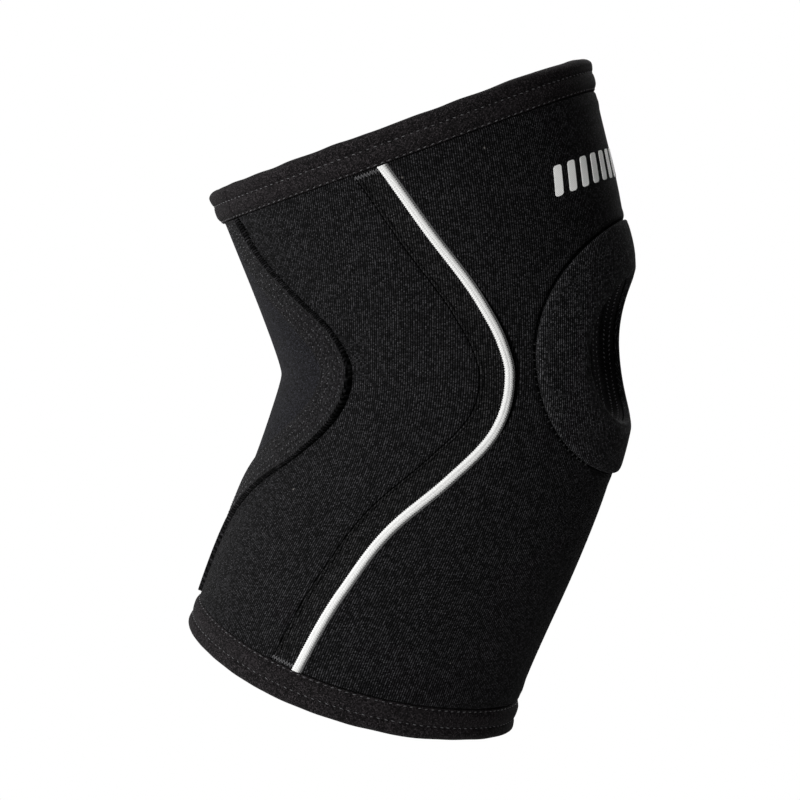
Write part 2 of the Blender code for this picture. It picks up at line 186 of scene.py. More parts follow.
def tubeLength(way, theta):
    return np.interp(turnRow(theta), np.arange(turnSteps + 1), stations[way][0])


def limbLength(way, theta):
    # as cut: the hems dip and rise a little on their way round
    even, wave = hem["wave"][way]
    return tubeLength(way, theta) + even + wave * np.cos(2 * np.asarray(theta, float))


def skinFrame(distance, theta):
    # places on the tube, with the directions up the limb, round it and outwards
    distance, theta = np.broadcast_arrays(np.asarray(distance, float), np.asarray(theta, float))
    out = [np.empty(distance.shape + (3,)) for _ in range(4)]
    step = 1e-4
    for way in (1, -1):
        mine = (distance >= 0) if way > 0 else (distance < 0)
        if not mine.any():
            continue
        angle = theta[mine]
        share = np.abs(distance[mine]) / tubeLength(way, angle)
        t = lookUp(stations[way][1], turnRow(angle), share / shareLimit * shareSteps)
        up = way * (tube(way, t + step, angle) - tube(way, t - step, angle))
        across = tube(way, t, angle + step) - tube(way, t, angle - step)
        normal = np.cross(across, up)
        for store, value in zip(out[1:], (up, across, normal)):
            store[mine] = value / np.linalg.norm(value, axis=-1, keepdims=True)
        out[0][mine] = tube(way, t, angle)
    return out


def evenField(points, size, seed):
    # slow random unevenness from -1 to 1, a sum of waves with no direction of their own
    draw = np.random.default_rng(seed)
    waves = draw.normal(size=(3, 28)) * (2.2 / size)
    phases = draw.uniform(0, 2 * pi, 28)
    return np.sin(points @ waves + phases).sum(-1) / 7.5


def skin(distance, theta, height=0.0):
    # the wavering tube, a little fuller over the lower thigh muscle
    place, _, _, normal = skinFrame(distance, theta)
    at, spread, full = sleeve["fullness"]
    around = np.maximum(np.cos(np.asarray(theta, float)), 0) ** 2
    lift = full * np.exp(-((np.asarray(distance, float) - at) / spread) ** 2) * around
    lift = lift + sleeve["rippleHeight"] * evenField(place, sleeve["rippleSize"], 5)
    return place + normal * (np.asarray(height) + lift)[..., None]


def arcTable():
    levels = np.linspace(-1.1, 1.1, 89)
    rows = []
    for level in levels:
        around = lengthAlong(skinFrame(distanceOf(level, turns), turns)[0])
        rows.append(around - np.interp(0, turns, around))
    return np.array(rows)


hem = {
    "width": 12 * mm,
    "wall": 6.2 * mm,
    "proud": 0.6 * mm,
    "fold": 2.3 * mm,  # how far back the rounded edge starts
    "lip": 1.6 * mm,  # how far it reaches under the panels, which closes the seam
    "rows": (5.2 * mm, 11.3 * mm),  # of stitches, from the edge
    "puff": 0.35 * mm,
    "pinch": 0.3 * mm,
    "waver": 0.22 * mm,
    "waverSize": 9 * mm,
    # by half: how much longer the limb is all round, and how much more in front and behind than at the sides
    "wave": {1: (1.2 * mm, 0.8 * mm), -1: (2.6 * mm, -2.9 * mm)},
    "stitchPitch": 2.7 * mm,
    "stitch": (1.3 * mm, 0.33 * mm, 0.38 * mm),  # length, width and height
    "outerLoops": 22,  # from beside the seam to the rounded edge
    "columns": 480,
}


def distanceOf(level, theta):
    level, theta = np.broadcast_arrays(np.asarray(level, float), np.asarray(theta, float))
    upper, lower = (limbLength(way, theta) - hem["width"] for way in (1, -1))
    return np.where(level >= 0, level * upper, level * lower)


def levelOf(distance, theta):
    upper, lower = (limbLength(way, theta) - hem["width"] for way in (1, -1))
    return np.where(distance >= 0, distance / upper, distance / lower)


arcs = arcTable()


def arcAt(theta, level=0.0):
    # length round the limb from the front
    theta, level = np.broadcast_arrays(np.asarray(theta, float), np.asarray(level, float))
    rounds = np.floor((theta + pi) / (2 * pi))
    row = (np.clip(level, -1.1, 1.1) / 1.1 + 1) * (len(arcs) - 1) / 2
    column = ((theta + pi) / (2 * pi) - rounds) * turnSteps
    return lookUp(arcs, row, column) + rounds * 2 * lookUp(arcs, row, 0 * row + turnSteps)


kneeArcs = arcAt(turns[1:-1])


def angleAt(arc):
    return np.interp(arc, kneeArcs, turns[1:-1])


def smoothThrough(points, x):
    xs, ys = (np.array(column, float) for column in zip(*points))
    slopes = np.gradient(ys, xs)
    i = np.clip(np.searchsorted(xs, x) - 1, 0, len(xs) - 2)
    span = xs[i + 1] - xs[i]
    u = (np.asarray(x) - xs[i]) / span
    return (
        (2 * u ** 3 - 3 * u ** 2 + 1) * ys[i] + (u ** 3 - 2 * u ** 2 + u) * span * slopes[i]
        + (3 * u ** 2 - 2 * u ** 3) * ys[i + 1] + (u ** 3 - u ** 2) * span * slopes[i + 1]
    )


def seamLine(points):
    levels = np.linspace(-1.06, 1.06, 213)
    return levels, np.radians(smoothThrough(points, levels))


def angleOn(line, level):
    return np.interp(level, *line)


def beside(line, offset):
    # the line this far behind another one, or in front of it where the offset is negative
    levels, angles = line
    step = 1e-4

    def at(level, angle):
        return skinFrame(distanceOf(level, angle), angle)[0]

    along = at(levels + step, angleOn(line, levels + step)) - at(levels - step, angleOn(line, levels - step))
    byLevel = (at(levels + step, angles) - at(levels - step, angles)) / (2 * step)
    byAngle = (at(levels, angles + step) - at(levels, angles - step)) / (2 * step)
    sideways = np.cross(along, np.cross(byAngle, byLevel))
    sideways *= (offset / np.linalg.norm(sideways, axis=1))[:, None]
    moved = [
        np.linalg.lstsq(np.stack([byLevel[i], byAngle[i]], axis=1), sideways[i], rcond=None)[0]
        for i in range(len(levels))
    ]
    shifted, turned = levels + np.array(moved)[:, 0], angles + np.array(moved)[:, 1]
    order = np.argsort(shifted)
    return shifted[order], turned[order]


pipingLine, tapeLine = seamLine(seams["piping"]), seamLine(seams["tape"])
print("surface and seam lines ready")


# mesh making
def gridPiece(name, points, weave, materials, inside=None, ring=False, threshold=40):
    # rows of closed sections. weave holds the cloth's own coordinates, one column more than
    # points, and one row more on a ring. inside is the material's number for each column, or for
    # each row and column
    rows, columns = points.shape[:2]
    rowFrom = np.arange(rows if ring else rows - 1)
    colFrom = np.arange(columns)
    r, c = np.meshgrid(rowFrom, colFrom, indexing="ij")
    r, c = r.ravel(), c.ravel()
    nextR, nextC = (r + 1) % rows, (c + 1) % columns
    quads = np.stack([r * columns + c, r * columns + nextC, nextR * columns + nextC, nextR * columns + c], 1)
    wide = columns + 1
    weaveQuads = np.stack([r * wide + c, r * wide + c + 1, (r + 1) * wide + c + 1, (r + 1) * wide + c], 1)
    slots = np.zeros(len(quads), int) if inside is None else np.asarray(inside, int)
    if slots.ndim == 2:
        slots = slots[r, c]
    elif inside is not None:
        slots = slots[c]
    if not ring:  # close both ends, where column k faces column -1-k
        k = np.arange(columns // 2 - 1)
        for row in (0, rows - 1):
            cap = [row * columns + x for x in (k, k + 1, columns - 2 - k, columns - 1 - k)]
            quads = np.concatenate([quads, np.stack(cap, 1)])
            cap = [row * wide + x for x in (k, k + 1, columns - 2 - k, columns - 1 - k)]
            weaveQuads = np.concatenate([weaveQuads, np.stack(cap, 1)])
            slots = np.concatenate([slots, 0 * k])
    return meshPiece(name, points.reshape(-1, 3), quads, weave.reshape(-1, 2)[weaveQuads.ravel()],
                     materials, slots, threshold)


def meshPiece(name, points, quads, corners, materials, slots, threshold):
    mesh = bpy.data.meshes.new(name)
    mesh.from_pydata(points.tolist(), [], quads.tolist())
    layer = mesh.uv_layers.new(name="weave")
    layer.data.foreach_set("uv", np.asarray(corners, np.float32).ravel())
    mesh.polygons.foreach_set("material_index", np.asarray(slots, np.int32))
    for material in materials:
        mesh.materials.append(material)
    work = bmesh.new()
    work.from_mesh(mesh)
    bmesh.ops.recalc_face_normals(work, faces=work.faces)
    work.to_mesh(mesh)
    work.free()
    mesh.shade_smooth()
    mesh.set_sharp_from_angle(angle=math.radians(threshold))
    piece = bpy.data.objects.new(name, mesh)
    bpy.context.scene.collection.objects.link(piece)
    return piece


def bendWithKnee(piece):
    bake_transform(piece)


def clothPlaces(distance, theta, grain=0.0, shift=(0.0, 0.0)):
    # the cloth's own coordinates in metres: across its ribs, and along them
    u, v = arcAt(theta, levelOf(distance, theta)) + shift[0], distance + shift[1]
    turn = math.radians(grain)
    return np.stack([u * math.cos(turn) - v * math.sin(turn), u * math.sin(turn) + v * math.cos(turn)], -1)


def clothGrid(along, across):
    # the same coordinates for a strip whose rows are all alike
    return np.stack(np.broadcast_arrays(along[:, None], across[None, :]), -1)


def rounded(depth, radius, gone):
    # how far a cut edge has fallen, at a distance gone in from it
    share = np.clip(1 - gone / radius, 0, 1)
    return depth * (1 - np.sqrt(np.maximum(1 - share ** 2, 0)))


def closedSection(top, bottom, topPlaces):
    # outer columns left to right, then inner columns back
    points = np.concatenate([top, bottom[:, ::-1]], axis=1)
    places = np.concatenate([topPlaces, topPlaces[:, ::-1], topPlaces[:, :1]], axis=1)
    return points, places


edgeSteps = (0, 0.1 * mm, 0.3 * mm, 0.7 * mm, 1.3 * mm)


def edgeColumns(width, count, nearFirst, nearSecond):
    # shares across a band, with extra columns at these distances from its two edges
    nearFirst, nearSecond = (near / width[:, None] for near in (nearFirst, nearSecond))
    start, stop = nearFirst[:, -1:], 1 - nearSecond[:, -1:]
    middle = start + (stop - start) * np.linspace(0, 1, count)[None, 1:-1]
    return np.concatenate([nearFirst, middle, 1 - nearSecond[:, ::-1]], axis=1)


def band(name, first, second, hand, cut, materials):
    # one strip of cloth between two lines of angles, from hem to hem or between its own levels
    levels = np.linspace(*cut.get("levels", (-1, 1)), cut["rows"])
    levels = np.clip(levels, -clothEnd, clothEnd)
    start, stop = first(levels), second(levels)
    width = np.abs(arcAt(stop, levels) - arcAt(start, levels))
    steps = np.array(edgeSteps)[None, :] + 0 * levels[:, None]
    shares = edgeColumns(width, cut["columns"], cut["nearFirst"](levels) if "nearFirst" in cut else steps,
                         cut["nearSecond"](levels) if "nearSecond" in cut else steps)
    theta = hand * (start[:, None] + (stop - start)[:, None] * shares)
    level = levels[:, None] + 0 * theta
    distance = distanceOf(level, theta)
    fromFirst, fromSecond = shares * width[:, None], (1 - shares) * width[:, None]
    lift = cut["top"] + cut["shape"](level, shares, fromFirst, fromSecond, distance)
    top = skin(distance, theta, lift)
    under = np.minimum(fromFirst, fromSecond)
    bottom = skin(distance, theta, np.minimum(cut["top"] - cut["wall"] + rounded(0.6 * mm, 0.6 * mm, under),
                                              lift - 0.4 * mm))
    points, places = closedSection(top, bottom, clothPlaces(distance, theta, cut["grain"], cut["shift"]))
    count = theta.shape[1]
    inside = (np.arange(points.shape[1]) >= count).astype(int)
    # the last columns before the second edge take the third finish, painted shade in an open seam
    inside[count - 1 - cut.get("shaded", 0):count - 1] = 2
    return gridPiece(name, points, places, materials, inside)


# stitches: one is modelled, then copied along each seam
def stitchShape(segments, rings):
    bpy.ops.object.select_all(action="DESELECT")
    bpy.ops.mesh.primitive_uv_sphere_add(segments=segments, ring_count=rings, radius=0.5, location=(0, 0, 0))
    model = bpy.context.object
    bpy.ops.object.mode_set(mode="EDIT")
    bpy.ops.mesh.select_all(action="SELECT")
    bpy.ops.transform.rotate(value=pi / 2, orient_axis="Y", center_override=(0, 0, 0))
    bpy.ops.object.mode_set(mode="OBJECT")
    points = np.array([v.co for v in model.data.vertices])
    points[:, 2] -= 0.9 * points[:, 0] ** 2  # the ends dive into the cloth
    faces = [list(p.vertices) for p in model.data.polygons]
    bpy.data.objects.remove(model)
    return points, faces


longStitch = stitchShape(8, 6)
shortStitch = stitchShape(6, 4)


def sew(name, places, along, outward, size, material, shape=longStitch):
    # size is (length, width, height), one for all stitches or one for each
    points, faces = shape
    count = len(places)
    size = np.broadcast_to(np.asarray(size, float), (count, 3))
    along = along - (along * outward).sum(-1, keepdims=True) * outward
    along /= np.linalg.norm(along, axis=-1, keepdims=True)
    across = np.cross(outward, along)
    local = points[None] * size[:, None, :]
    made = places[:, None] + local[..., :1] * along[:, None] + local[..., 1:2] * across[:, None]
    made = made + local[..., 2:] * outward[:, None]
    quads = [[v + i * len(points) for v in face] for i in range(count) for face in faces]
    mesh = bpy.data.meshes.new(name)
    mesh.from_pydata(made.reshape(-1, 3).tolist(), [], quads)
    layer = mesh.uv_layers.new(name="weave")
    loops = np.empty(len(mesh.loops), np.int32)
    mesh.loops.foreach_get("vertex_index", loops)
    flat = np.stack([local[..., 0] + 0.01 * np.arange(count)[:, None], local[..., 1]], -1).reshape(-1, 2)
    layer.data.foreach_set("uv", flat[loops].astype(np.float32).ravel())
    mesh.shade_smooth()
    mesh.materials.append(material)
    piece = bpy.data.objects.new(name, mesh)
    bpy.context.scene.collection.objects.link(piece)
    return piece


def sewRows(name, rows, size, material, shape=longStitch, uneven=None, seed=0):
    # several rows as one piece. uneven is the least and the most share of the size
    joined = [np.concatenate(column) for column in zip(*rows)]
    size = np.array(size)
    if uneven:
        size = np.random.default_rng(seed).uniform(*uneven, (len(joined[0]), 1)) * size
    return sew(name, *joined, size, material, shape)


def spaced(distance, theta, pitch, ring=False):
    # evenly spaced places along a line on the sleeve
    place = skinFrame(distance, theta)[0]
    along = lengthAlong(place)
    count = int(round(along[-1] / pitch))
    marks = (np.arange(count) + (0 if ring else 0.5)) * along[-1] / count
    return np.interp(marks, along, distance), np.interp(marks, along, theta)


def seamRow(distance, theta, height, pitch, slant=0.0, ring=False, jitter=0.0, seed=1):
    # places, directions and outward normals of stitches along a line. jitter is a share of the pitch
    distance, theta = spaced(distance, theta, pitch, ring)
    draw = np.random.default_rng(seed)
    lift = height(distance, theta) if callable(height) else height
    place = skin(distance, theta, lift)
    along = np.gradient(place, axis=0)
    _, _, _, normal = skinFrame(distance, theta)
    along /= np.linalg.norm(along, axis=-1, keepdims=True)
    turn = np.radians(slant + jitter * 30 * draw.normal(size=len(place)))[:, None]
    turned = along * np.cos(turn) + np.cross(normal, along) * np.sin(turn)
    place = place + along * (jitter * pitch * draw.normal(size=(len(place), 1)))
    return place, turned, normal


# finishes
class NodeTree:
    # short calls for building shader nodes
    def __init__(self, tree):
        self.tree = tree

    def add(self, kind, inputs=(), **settings):
        node = self.tree.nodes.new(kind)
        for key, value in settings.items():
            setattr(node, key, value)
        for key, value in dict(inputs).items():
            self.put(node.inputs[key], value)
        return node

    def put(self, socket, value):
        if isinstance(value, bpy.types.NodeSocket):
            self.tree.links.new(value, socket)
        elif isinstance(value, bpy.types.Node):
            self.tree.links.new(value.outputs[0], socket)
        else:
            socket.default_value = value

    def math(self, operation, *values, clamp=False):
        node = self.add("ShaderNodeMath", operation=operation, use_clamp=clamp)
        for socket, value in zip(node.inputs, values):
            self.put(socket, value)
        return node.outputs[0]

    def noise(self, vector, scale, detail=2.0, rough=0.5):
        inputs = {"Vector": vector, "Scale": scale, "Detail": detail, "Roughness": rough}
        return self.add("ShaderNodeTexNoise", inputs, noise_dimensions="3D").outputs["Fac"]

    def remap(self, value, low, high, toLow, toHigh):
        inputs = {"Value": value, "From Min": low, "From Max": high, "To Min": toLow, "To Max": toHigh}
        return self.add("ShaderNodeMapRange", inputs, clamp=True).outputs["Result"]

    def shade(self, colour, factor):
        # a colour times a value
        node = self.add("ShaderNodeVectorMath", operation="SCALE")
        self.put(node.inputs[0], colour)
        self.put(node.inputs["Scale"], factor)
        return node.outputs[0]


def effectGroup(name, inputs, outputs, build):
    group = bpy.data.node_groups.new(name, "ShaderNodeTree")
    for label, kind, value in inputs:
        socket = group.interface.new_socket(label, in_out="INPUT", socket_type=kind)
        if value is not None:
            socket.default_value = value
    for label in outputs:
        group.interface.new_socket(label, in_out="OUTPUT", socket_type="NodeSocketFloat")
    tree = NodeTree(group)
    start, stop = tree.add("NodeGroupInput"), tree.add("NodeGroupOutput")
    for label, value in build(tree, start.outputs).items():
        tree.put(stop.inputs[label], value)
    return group


vectorIn = ("Vector", "NodeSocketVector", None)


def floatIn(label, value):
    return label, "NodeSocketFloat", value


def knitLoops(tree, given):
    # ribs of slanted loops side by side, each loop with a shade of its own
    wobble = tree.noise(given["Vector"], 320, 1)
    parts = tree.add("ShaderNodeSeparateXYZ", {"Vector": given["Vector"]}).outputs
    shift = tree.math("MULTIPLY", tree.math("SUBTRACT", wobble, 0.5), given["Wobble"])
    wale = tree.math("DIVIDE", tree.math("ADD", parts["X"], shift), given["Rib"])
    side = tree.math("ABSOLUTE", tree.math("SUBTRACT", tree.math("FRACT", wale), 0.5))
    ridge = tree.math("MULTIPLY_ADD", tree.math("COSINE", tree.math("MULTIPLY", side, 2 * pi)), 0.5, 0.5)
    course = tree.math("DIVIDE", tree.math("ADD", parts["Y"], shift), given["Course"])
    course = tree.math("ADD", course, tree.math("MULTIPLY", side, given["Slant"]))
    loop = tree.math("SINE", tree.math("MULTIPLY", tree.math("FRACT", course), pi))
    height = tree.math("MULTIPLY", ridge, tree.math("MULTIPLY_ADD", loop, 0.45, 0.55))
    cell = tree.add("ShaderNodeCombineXYZ", {"X": tree.math("FLOOR", wale), "Y": tree.math("FLOOR", course)})
    draw = tree.add("ShaderNodeTexWhiteNoise", {"Vector": cell}, noise_dimensions="2D").outputs["Value"]
    return {"Height": height, "Draw": draw}


def yarnSpeckle(tree, given):
    # short light and dark flecks, partly uneven yarn and partly painted highlights on the yarn, and slow
    # patches of wear
    flecks = tree.noise(given["Vector"], given["Fleck scale"], 2, 0.6)
    patches = tree.noise(given["Vector"], given["Patch scale"], 3, 0.55)
    flecks = tree.math("MULTIPLY", tree.math("SUBTRACT", flecks, 0.5), given["Fleck"])
    patches = tree.math("MULTIPLY", tree.math("SUBTRACT", patches, 0.5), given["Patch"])
    return {"Shade": tree.math("MAXIMUM", tree.math("ADD", tree.math("ADD", 1.0, flecks), patches), 0.15)}


def lintSpecks(tree, given):
    # a few pale specks of lint and dust
    cells = tree.add("ShaderNodeTexVoronoi", {"Vector": given["Vector"], "Scale": given["Scale"]})
    spread = tree.noise(given["Vector"], 900, 1)
    reach = tree.math("MULTIPLY_ADD", spread, 0.1, given["Size"])
    near = tree.math("LESS_THAN", cells.outputs["Distance"], tree.math("SUBTRACT", reach, 0.05))
    draw = tree.add("ShaderNodeSeparateColor", {"Color": cells.outputs["Color"]}).outputs[0]
    return {"Mask": tree.math("MULTIPLY", near, tree.math("LESS_THAN", draw, given["Share"]))}


def yarnTwist(tree, given):
    # the slanting plies of sewing thread
    parts = tree.add("ShaderNodeSeparateXYZ", {"Vector": given["Vector"]}).outputs
    across = tree.math("MULTIPLY", parts["Y"], given["Slant"])
    ply = tree.math("DIVIDE", tree.math("ADD", parts["X"], across), given["Pitch"])
    return {"Height": tree.math("ABSOLUTE", tree.math("SINE", tree.math("MULTIPLY", ply, pi)))}


lintColour = (0.16, 0.15, 0.14, 1)
groups = {
    "knit": effectGroup("knitLoops", [
        vectorIn, floatIn("Rib", 0.0009), floatIn("Course", 0.0007), floatIn("Slant", 0.6),
        floatIn("Wobble", 0.0002),
    ], ["Height", "Draw"], knitLoops),
    "speckle": effectGroup("yarnSpeckle", [
        vectorIn, floatIn("Fleck scale", 1400), floatIn("Fleck", 0.6), floatIn("Patch scale", 30),
        floatIn("Patch", 0.3),
    ], ["Shade"], yarnSpeckle),
    "lint": effectGroup("lintSpecks", [
        vectorIn, floatIn("Scale", 240), floatIn("Size", 0.1), floatIn("Share", 0.03),
    ], ["Mask"], lintSpecks),
    "twist": effectGroup("yarnTwist", [
        vectorIn, floatIn("Pitch", 0.0004), floatIn("Slant", 0.8),
    ], ["Height"], yarnTwist),
}


def newFinish(name, look):
    material = bpy.data.materials.new(name)
    material.use_nodes = True
    tree = NodeTree(material.node_tree)
    shader = material.node_tree.nodes["Principled BSDF"]
    shader.inputs["Roughness"].default_value = look["rough"]
    shader.inputs["Specular IOR Level"].default_value = look.get("gloss", 0.2)
    shader.inputs["Sheen Weight"].default_value = look.get("sheen", 0.0)
    shader.inputs["Sheen Roughness"].default_value = look.get("sheenRough", 0.4)
    return material, tree, shader, tree.add("ShaderNodeUVMap", uv_map="weave").outputs[0]


def groupNode(tree, key, inputs):
    node = tree.add("ShaderNodeGroup", node_tree=groups[key])
    for label, value in inputs.items():
        tree.put(node.inputs[label], value)
    return node.outputs


def knitFinish(name, look):
    material, tree, shader, weave = newFinish(name, look)
    knit = groupNode(tree, "knit", {"Vector": weave, "Rib": look["rib"], "Course": look["course"],
                                    "Slant": look.get("slant", 0.6), "Wobble": look.get("wobble", 0.0002)})
    speckle = groupNode(tree, "speckle", {"Vector": weave, "Fleck scale": look.get("fleckScale", 2600),
                                          "Fleck": look["fleck"], "Patch scale": look.get("patchScale", 28),
                                          "Patch": look.get("patch", 0.3)})
    lint = groupNode(tree, "lint", {"Vector": weave, "Scale": look.get("lintScale", 260),
                                    "Share": look.get("lint", 0.02)})
    # the loops' crests are painted lighter and the hollows between them darker: painted highlight and painted
    # shade
    relief = tree.remap(knit["Height"], 0.05, 0.95, look.get("valley", 0.0), look.get("crest", 2.55))
    # most loops are dull, and a few catch the light
    loop = tree.math("MULTIPLY_ADD", tree.math("POWER", knit["Draw"], look.get("spark", 1.8)),
                     look.get("loopShare", 2.2), look.get("loopLeast", 0.42))
    colour = tree.shade((*look["colour"],), tree.math("MULTIPLY", tree.math("MULTIPLY", relief, loop),
                                                      speckle["Shade"]))
    mix = tree.add("ShaderNodeMix", data_type="RGBA")
    tree.put(mix.inputs["Factor"], tree.math("MULTIPLY", lint["Mask"], look.get("lintShow", 0.5)))
    tree.put(mix.inputs[6], colour)
    mix.inputs[7].default_value = lintColour
    tree.put(shader.inputs["Base Color"], mix.outputs[2])
    bump = tree.add("ShaderNodeBump", {"Height": knit["Height"], "Strength": look.get("bump", 0.8),
                                       "Distance": look.get("relief", 0.2 * mm)})
    tree.put(shader.inputs["Normal"], bump.outputs[0])
    return material


def threadFinish(name, look):
    material, tree, shader, weave = newFinish(name, look)
    twist = groupNode(tree, "twist", {"Vector": weave, "Pitch": look.get("ply", 0.35 * mm)})
    speckle = groupNode(tree, "speckle", {"Vector": weave, "Fleck scale": 900.0, "Fleck": look["fleck"],
                                          "Patch": 0.0})
    # the hollows between the plies are painted darker, as painted shade
    relief = tree.remap(twist["Height"], 0, 0.8, 0.6, 1.15)
    colour = tree.shade((*look["colour"],), tree.math("MULTIPLY", relief, speckle["Shade"]))
    tree.put(shader.inputs["Base Color"], colour)
    bump = tree.add("ShaderNodeBump", {"Height": twist["Height"], "Strength": 0.6, "Distance": 0.08 * mm})
    tree.put(shader.inputs["Normal"], bump.outputs[0])
    return material


finishes = {
    "neopreneKnit": knitFinish("neopreneKnit", {
        "colour": (0.0057, 0.0056, 0.006), "rough": 0.82, "gloss": 0.035, "sheen": 0.004,
        "rib": 0.84 * mm, "course": 0.6 * mm, "fleck": 5.5, "lint": 0.02,
    }),
    # the same knit as the panels, painted lighter: painted light that the raised pad catches
    "padKnitPaintedLight": knitFinish("padKnitPaintedLight", {
        "colour": (0.0108, 0.0107, 0.0113), "rough": 0.84, "gloss": 0.03, "sheen": 0.004,
        "rib": 0.84 * mm, "course": 0.6 * mm, "fleck": 5.5, "lint": 0.02,
    }),
    "stripKnit": knitFinish("stripKnit", {
        "colour": (0.0056, 0.0055, 0.0057), "rough": 0.82, "gloss": 0.04, "sheen": 0.004,
        "rib": 0.84 * mm, "course": 0.6 * mm, "fleck": 5.5, "lint": 0.02,
    }),
    "insertKnit": knitFinish("insertKnit", {
        "colour": (0.0058, 0.0058, 0.0072), "rough": 0.78, "gloss": 0.05, "sheen": 0.006,
        "rib": 0.5 * mm, "course": 0.45 * mm, "fleck": 7.0, "fleckScale": 1900, "relief": 0.1 * mm,
        "valley": 0.35, "crest": 1.7, "lint": 0.01,
    }),
    "liningJersey": knitFinish("liningJersey", {
        "colour": (0.005, 0.005, 0.0052), "rough": 0.9, "gloss": 0.03,
        "rib": 0.7 * mm, "course": 0.6 * mm, "fleck": 0.5, "relief": 0.12 * mm, "lint": 0.01,
    }),
    "paintedSeamShade": knitFinish("paintedSeamShade", {  # near-black knit: painted shade down the open seams and in the crease round the pad
        "colour": (0.0012, 0.0012, 0.0013), "rough": 0.95, "gloss": 0.01,
        "rib": 0.7 * mm, "course": 0.6 * mm, "fleck": 1.5, "relief": 0.1 * mm, "lint": 0.0,
    }),
    "seamTape": knitFinish("seamTape", {
        "colour": (0.0053, 0.0051, 0.0055), "rough": 0.8, "gloss": 0.05, "sheen": 0.006,
        "rib": 0.6 * mm, "course": 0.5 * mm, "fleck": 2.0, "relief": 0.12 * mm, "lint": 0.02,
    }),
    "hemBinding": knitFinish("hemBinding", {
        "colour": (0.0078, 0.0068, 0.0073), "rough": 0.82, "gloss": 0.05, "sheen": 0.006,
        "rib": 0.5 * mm, "course": 0.45 * mm, "fleck": 5.0, "fleckScale": 2000, "relief": 0.1 * mm,
        "valley": 0.55, "crest": 1.6, "lint": 0.02,
    }),
    "pipingBraid": threadFinish("pipingBraid", {
        "colour": (0.6, 0.6, 0.59), "rough": 0.6, "gloss": 0.4, "fleck": 0.12, "ply": 0.5 * mm,
    }),
    "pipingMargin": threadFinish("pipingMargin", {
        "colour": (0.09, 0.09, 0.09), "rough": 0.7, "gloss": 0.2, "fleck": 0.4, "ply": 0.42 * mm,
    }),
    "paleThread": threadFinish("paleThread", {
        "colour": (0.075, 0.075, 0.078), "rough": 0.55, "gloss": 0.35, "fleck": 0.3,
    }),
    "darkThread": threadFinish("darkThread", {
        "colour": (0.006, 0.006, 0.0063), "rough": 0.6, "gloss": 0.25, "fleck": 0.3,
    }),
    "dotThread": threadFinish("dotThread", {
        "colour": (0.046, 0.046, 0.049), "rough": 0.6, "gloss": 0.3, "fleck": 1.2,
    }),
    "holeThread": threadFinish("holeThread", {
        "colour": (0.11, 0.11, 0.115), "rough": 0.6, "gloss": 0.3, "fleck": 1.2,
    }),
    "padFoam": threadFinish("padFoam", {
        "colour": (0.04, 0.04, 0.043), "rough": 0.95, "gloss": 0.03, "fleck": 0.5,
    }),
    "printFilm": threadFinish("printFilm", {
        "colour": (0.9, 0.9, 0.88), "rough": 0.5, "gloss": 0.3, "fleck": 0.06, "ply": 0.9 * mm,
    }),
}
print("finishes ready:", len(finishes))


# the panels
sidePanel = {
    "top": 0.0, "wall": sleeve["wall"], "rows": 220, "columns": 40, "grain": 1.5, "shift": (0.003, 0.001),
    "strip": 10.3 * mm,  # width of the side strip in front of it
    "slot": 1.5 * mm,  # how wide the seam beside the tape opens at the knee
    "slotDepth": 4.3 * mm,
    "slotAt": (-0.075, 0.2),  # the middle of the opening and its spread, in levels
    "topSlot": (0.9 * mm, 0.93, 0.06),  # a shorter open stretch under the thigh hem
}


def slotWidth(level):
    middle, spread = sidePanel["slotAt"]
    wide, top, reach = sidePanel["topSlot"]
    knee = np.exp(-np.abs((level - middle) / spread) ** 2.6)
    return 0.1 * mm + sidePanel["slot"] * knee + wide * np.exp(-((level - top) / reach) ** 2)


def slotSteps(level):
    slot = slotWidth(level)[:, None]
    past = np.array((-0.02, 0, 0.06, 0.2, 0.5, 1.0, 1.7)) * mm
    return np.concatenate([0 * slot, slot * 0.5, slot + past[None, :]], axis=1)


def sidePanelShape(level, share, fromFirst, fromSecond, distance):
    slot = slotWidth(level)
    front = rounded(0.3 * mm, 0.35 * mm, fromFirst)
    pillow = 0.2 * mm * np.exp(-((fromFirst - 2.2 * mm) / (1.6 * mm)) ** 2)
    back = rounded(0.7 * mm, 0.6 * mm, np.maximum(fromSecond - slot, 0))
    deep = sidePanel["slotDepth"] * np.clip(slot / (0.6 * mm), 0.3, 1)
    return pillow - front - np.where(fromSecond < slot - 0.01 * mm, deep, back)


def makeSidePanels():
    front = beside(pipingLine, sidePanel["strip"] + sleeve["gap"] / 2)
    back = beside(tapeLine, -sleeve["gap"] / 2)
    for hand, side in ((1, "Left"), (-1, "Right")):
        # the three columns by the open seam beside the tape are painted shade
        piece = band("sidePanel" + side, lambda x: angleOn(front, x), lambda x: angleOn(back, x), hand,
                     {**sidePanel, "shape": sidePanelShape, "nearSecond": slotSteps, "shaded": 3},
                     [finishes["neopreneKnit"], finishes["liningJersey"], finishes["paintedSeamShade"]])
        bendWithKnee(piece)
        low = side.lower()
        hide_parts(f"side_panel_{low}_thigh", f"side_panel_{low}_calf")


sideStrip = {
    "top": 0.0, "wall": sleeve["wall"], "rows": 170, "columns": 10, "grain": -2, "shift": (0.011, 0.004),
    "ridge": 0.26 * mm,  # along the seam with the side panel
}


def sideStripShape(level, share, fromFirst, fromSecond, distance):
    ridge = sideStrip["ridge"] * np.exp(-((fromSecond - 0.7 * mm) / (0.42 * mm)) ** 2)
    groove = 0.3 * mm * np.exp(-((fromSecond - 1.4 * mm) / (0.17 * mm)) ** 2)
    return ridge - groove - rounded(0.3 * mm, 0.3 * mm, fromSecond) - rounded(0.9 * mm, 0.9 * mm, fromFirst)


def stripSteps(level):
    return np.array((0, 0.1, 0.25, 0.5, 0.8, 1.1, 1.25, 1.4, 1.55, 1.8))[None, :] * mm + 0 * level[:, None]


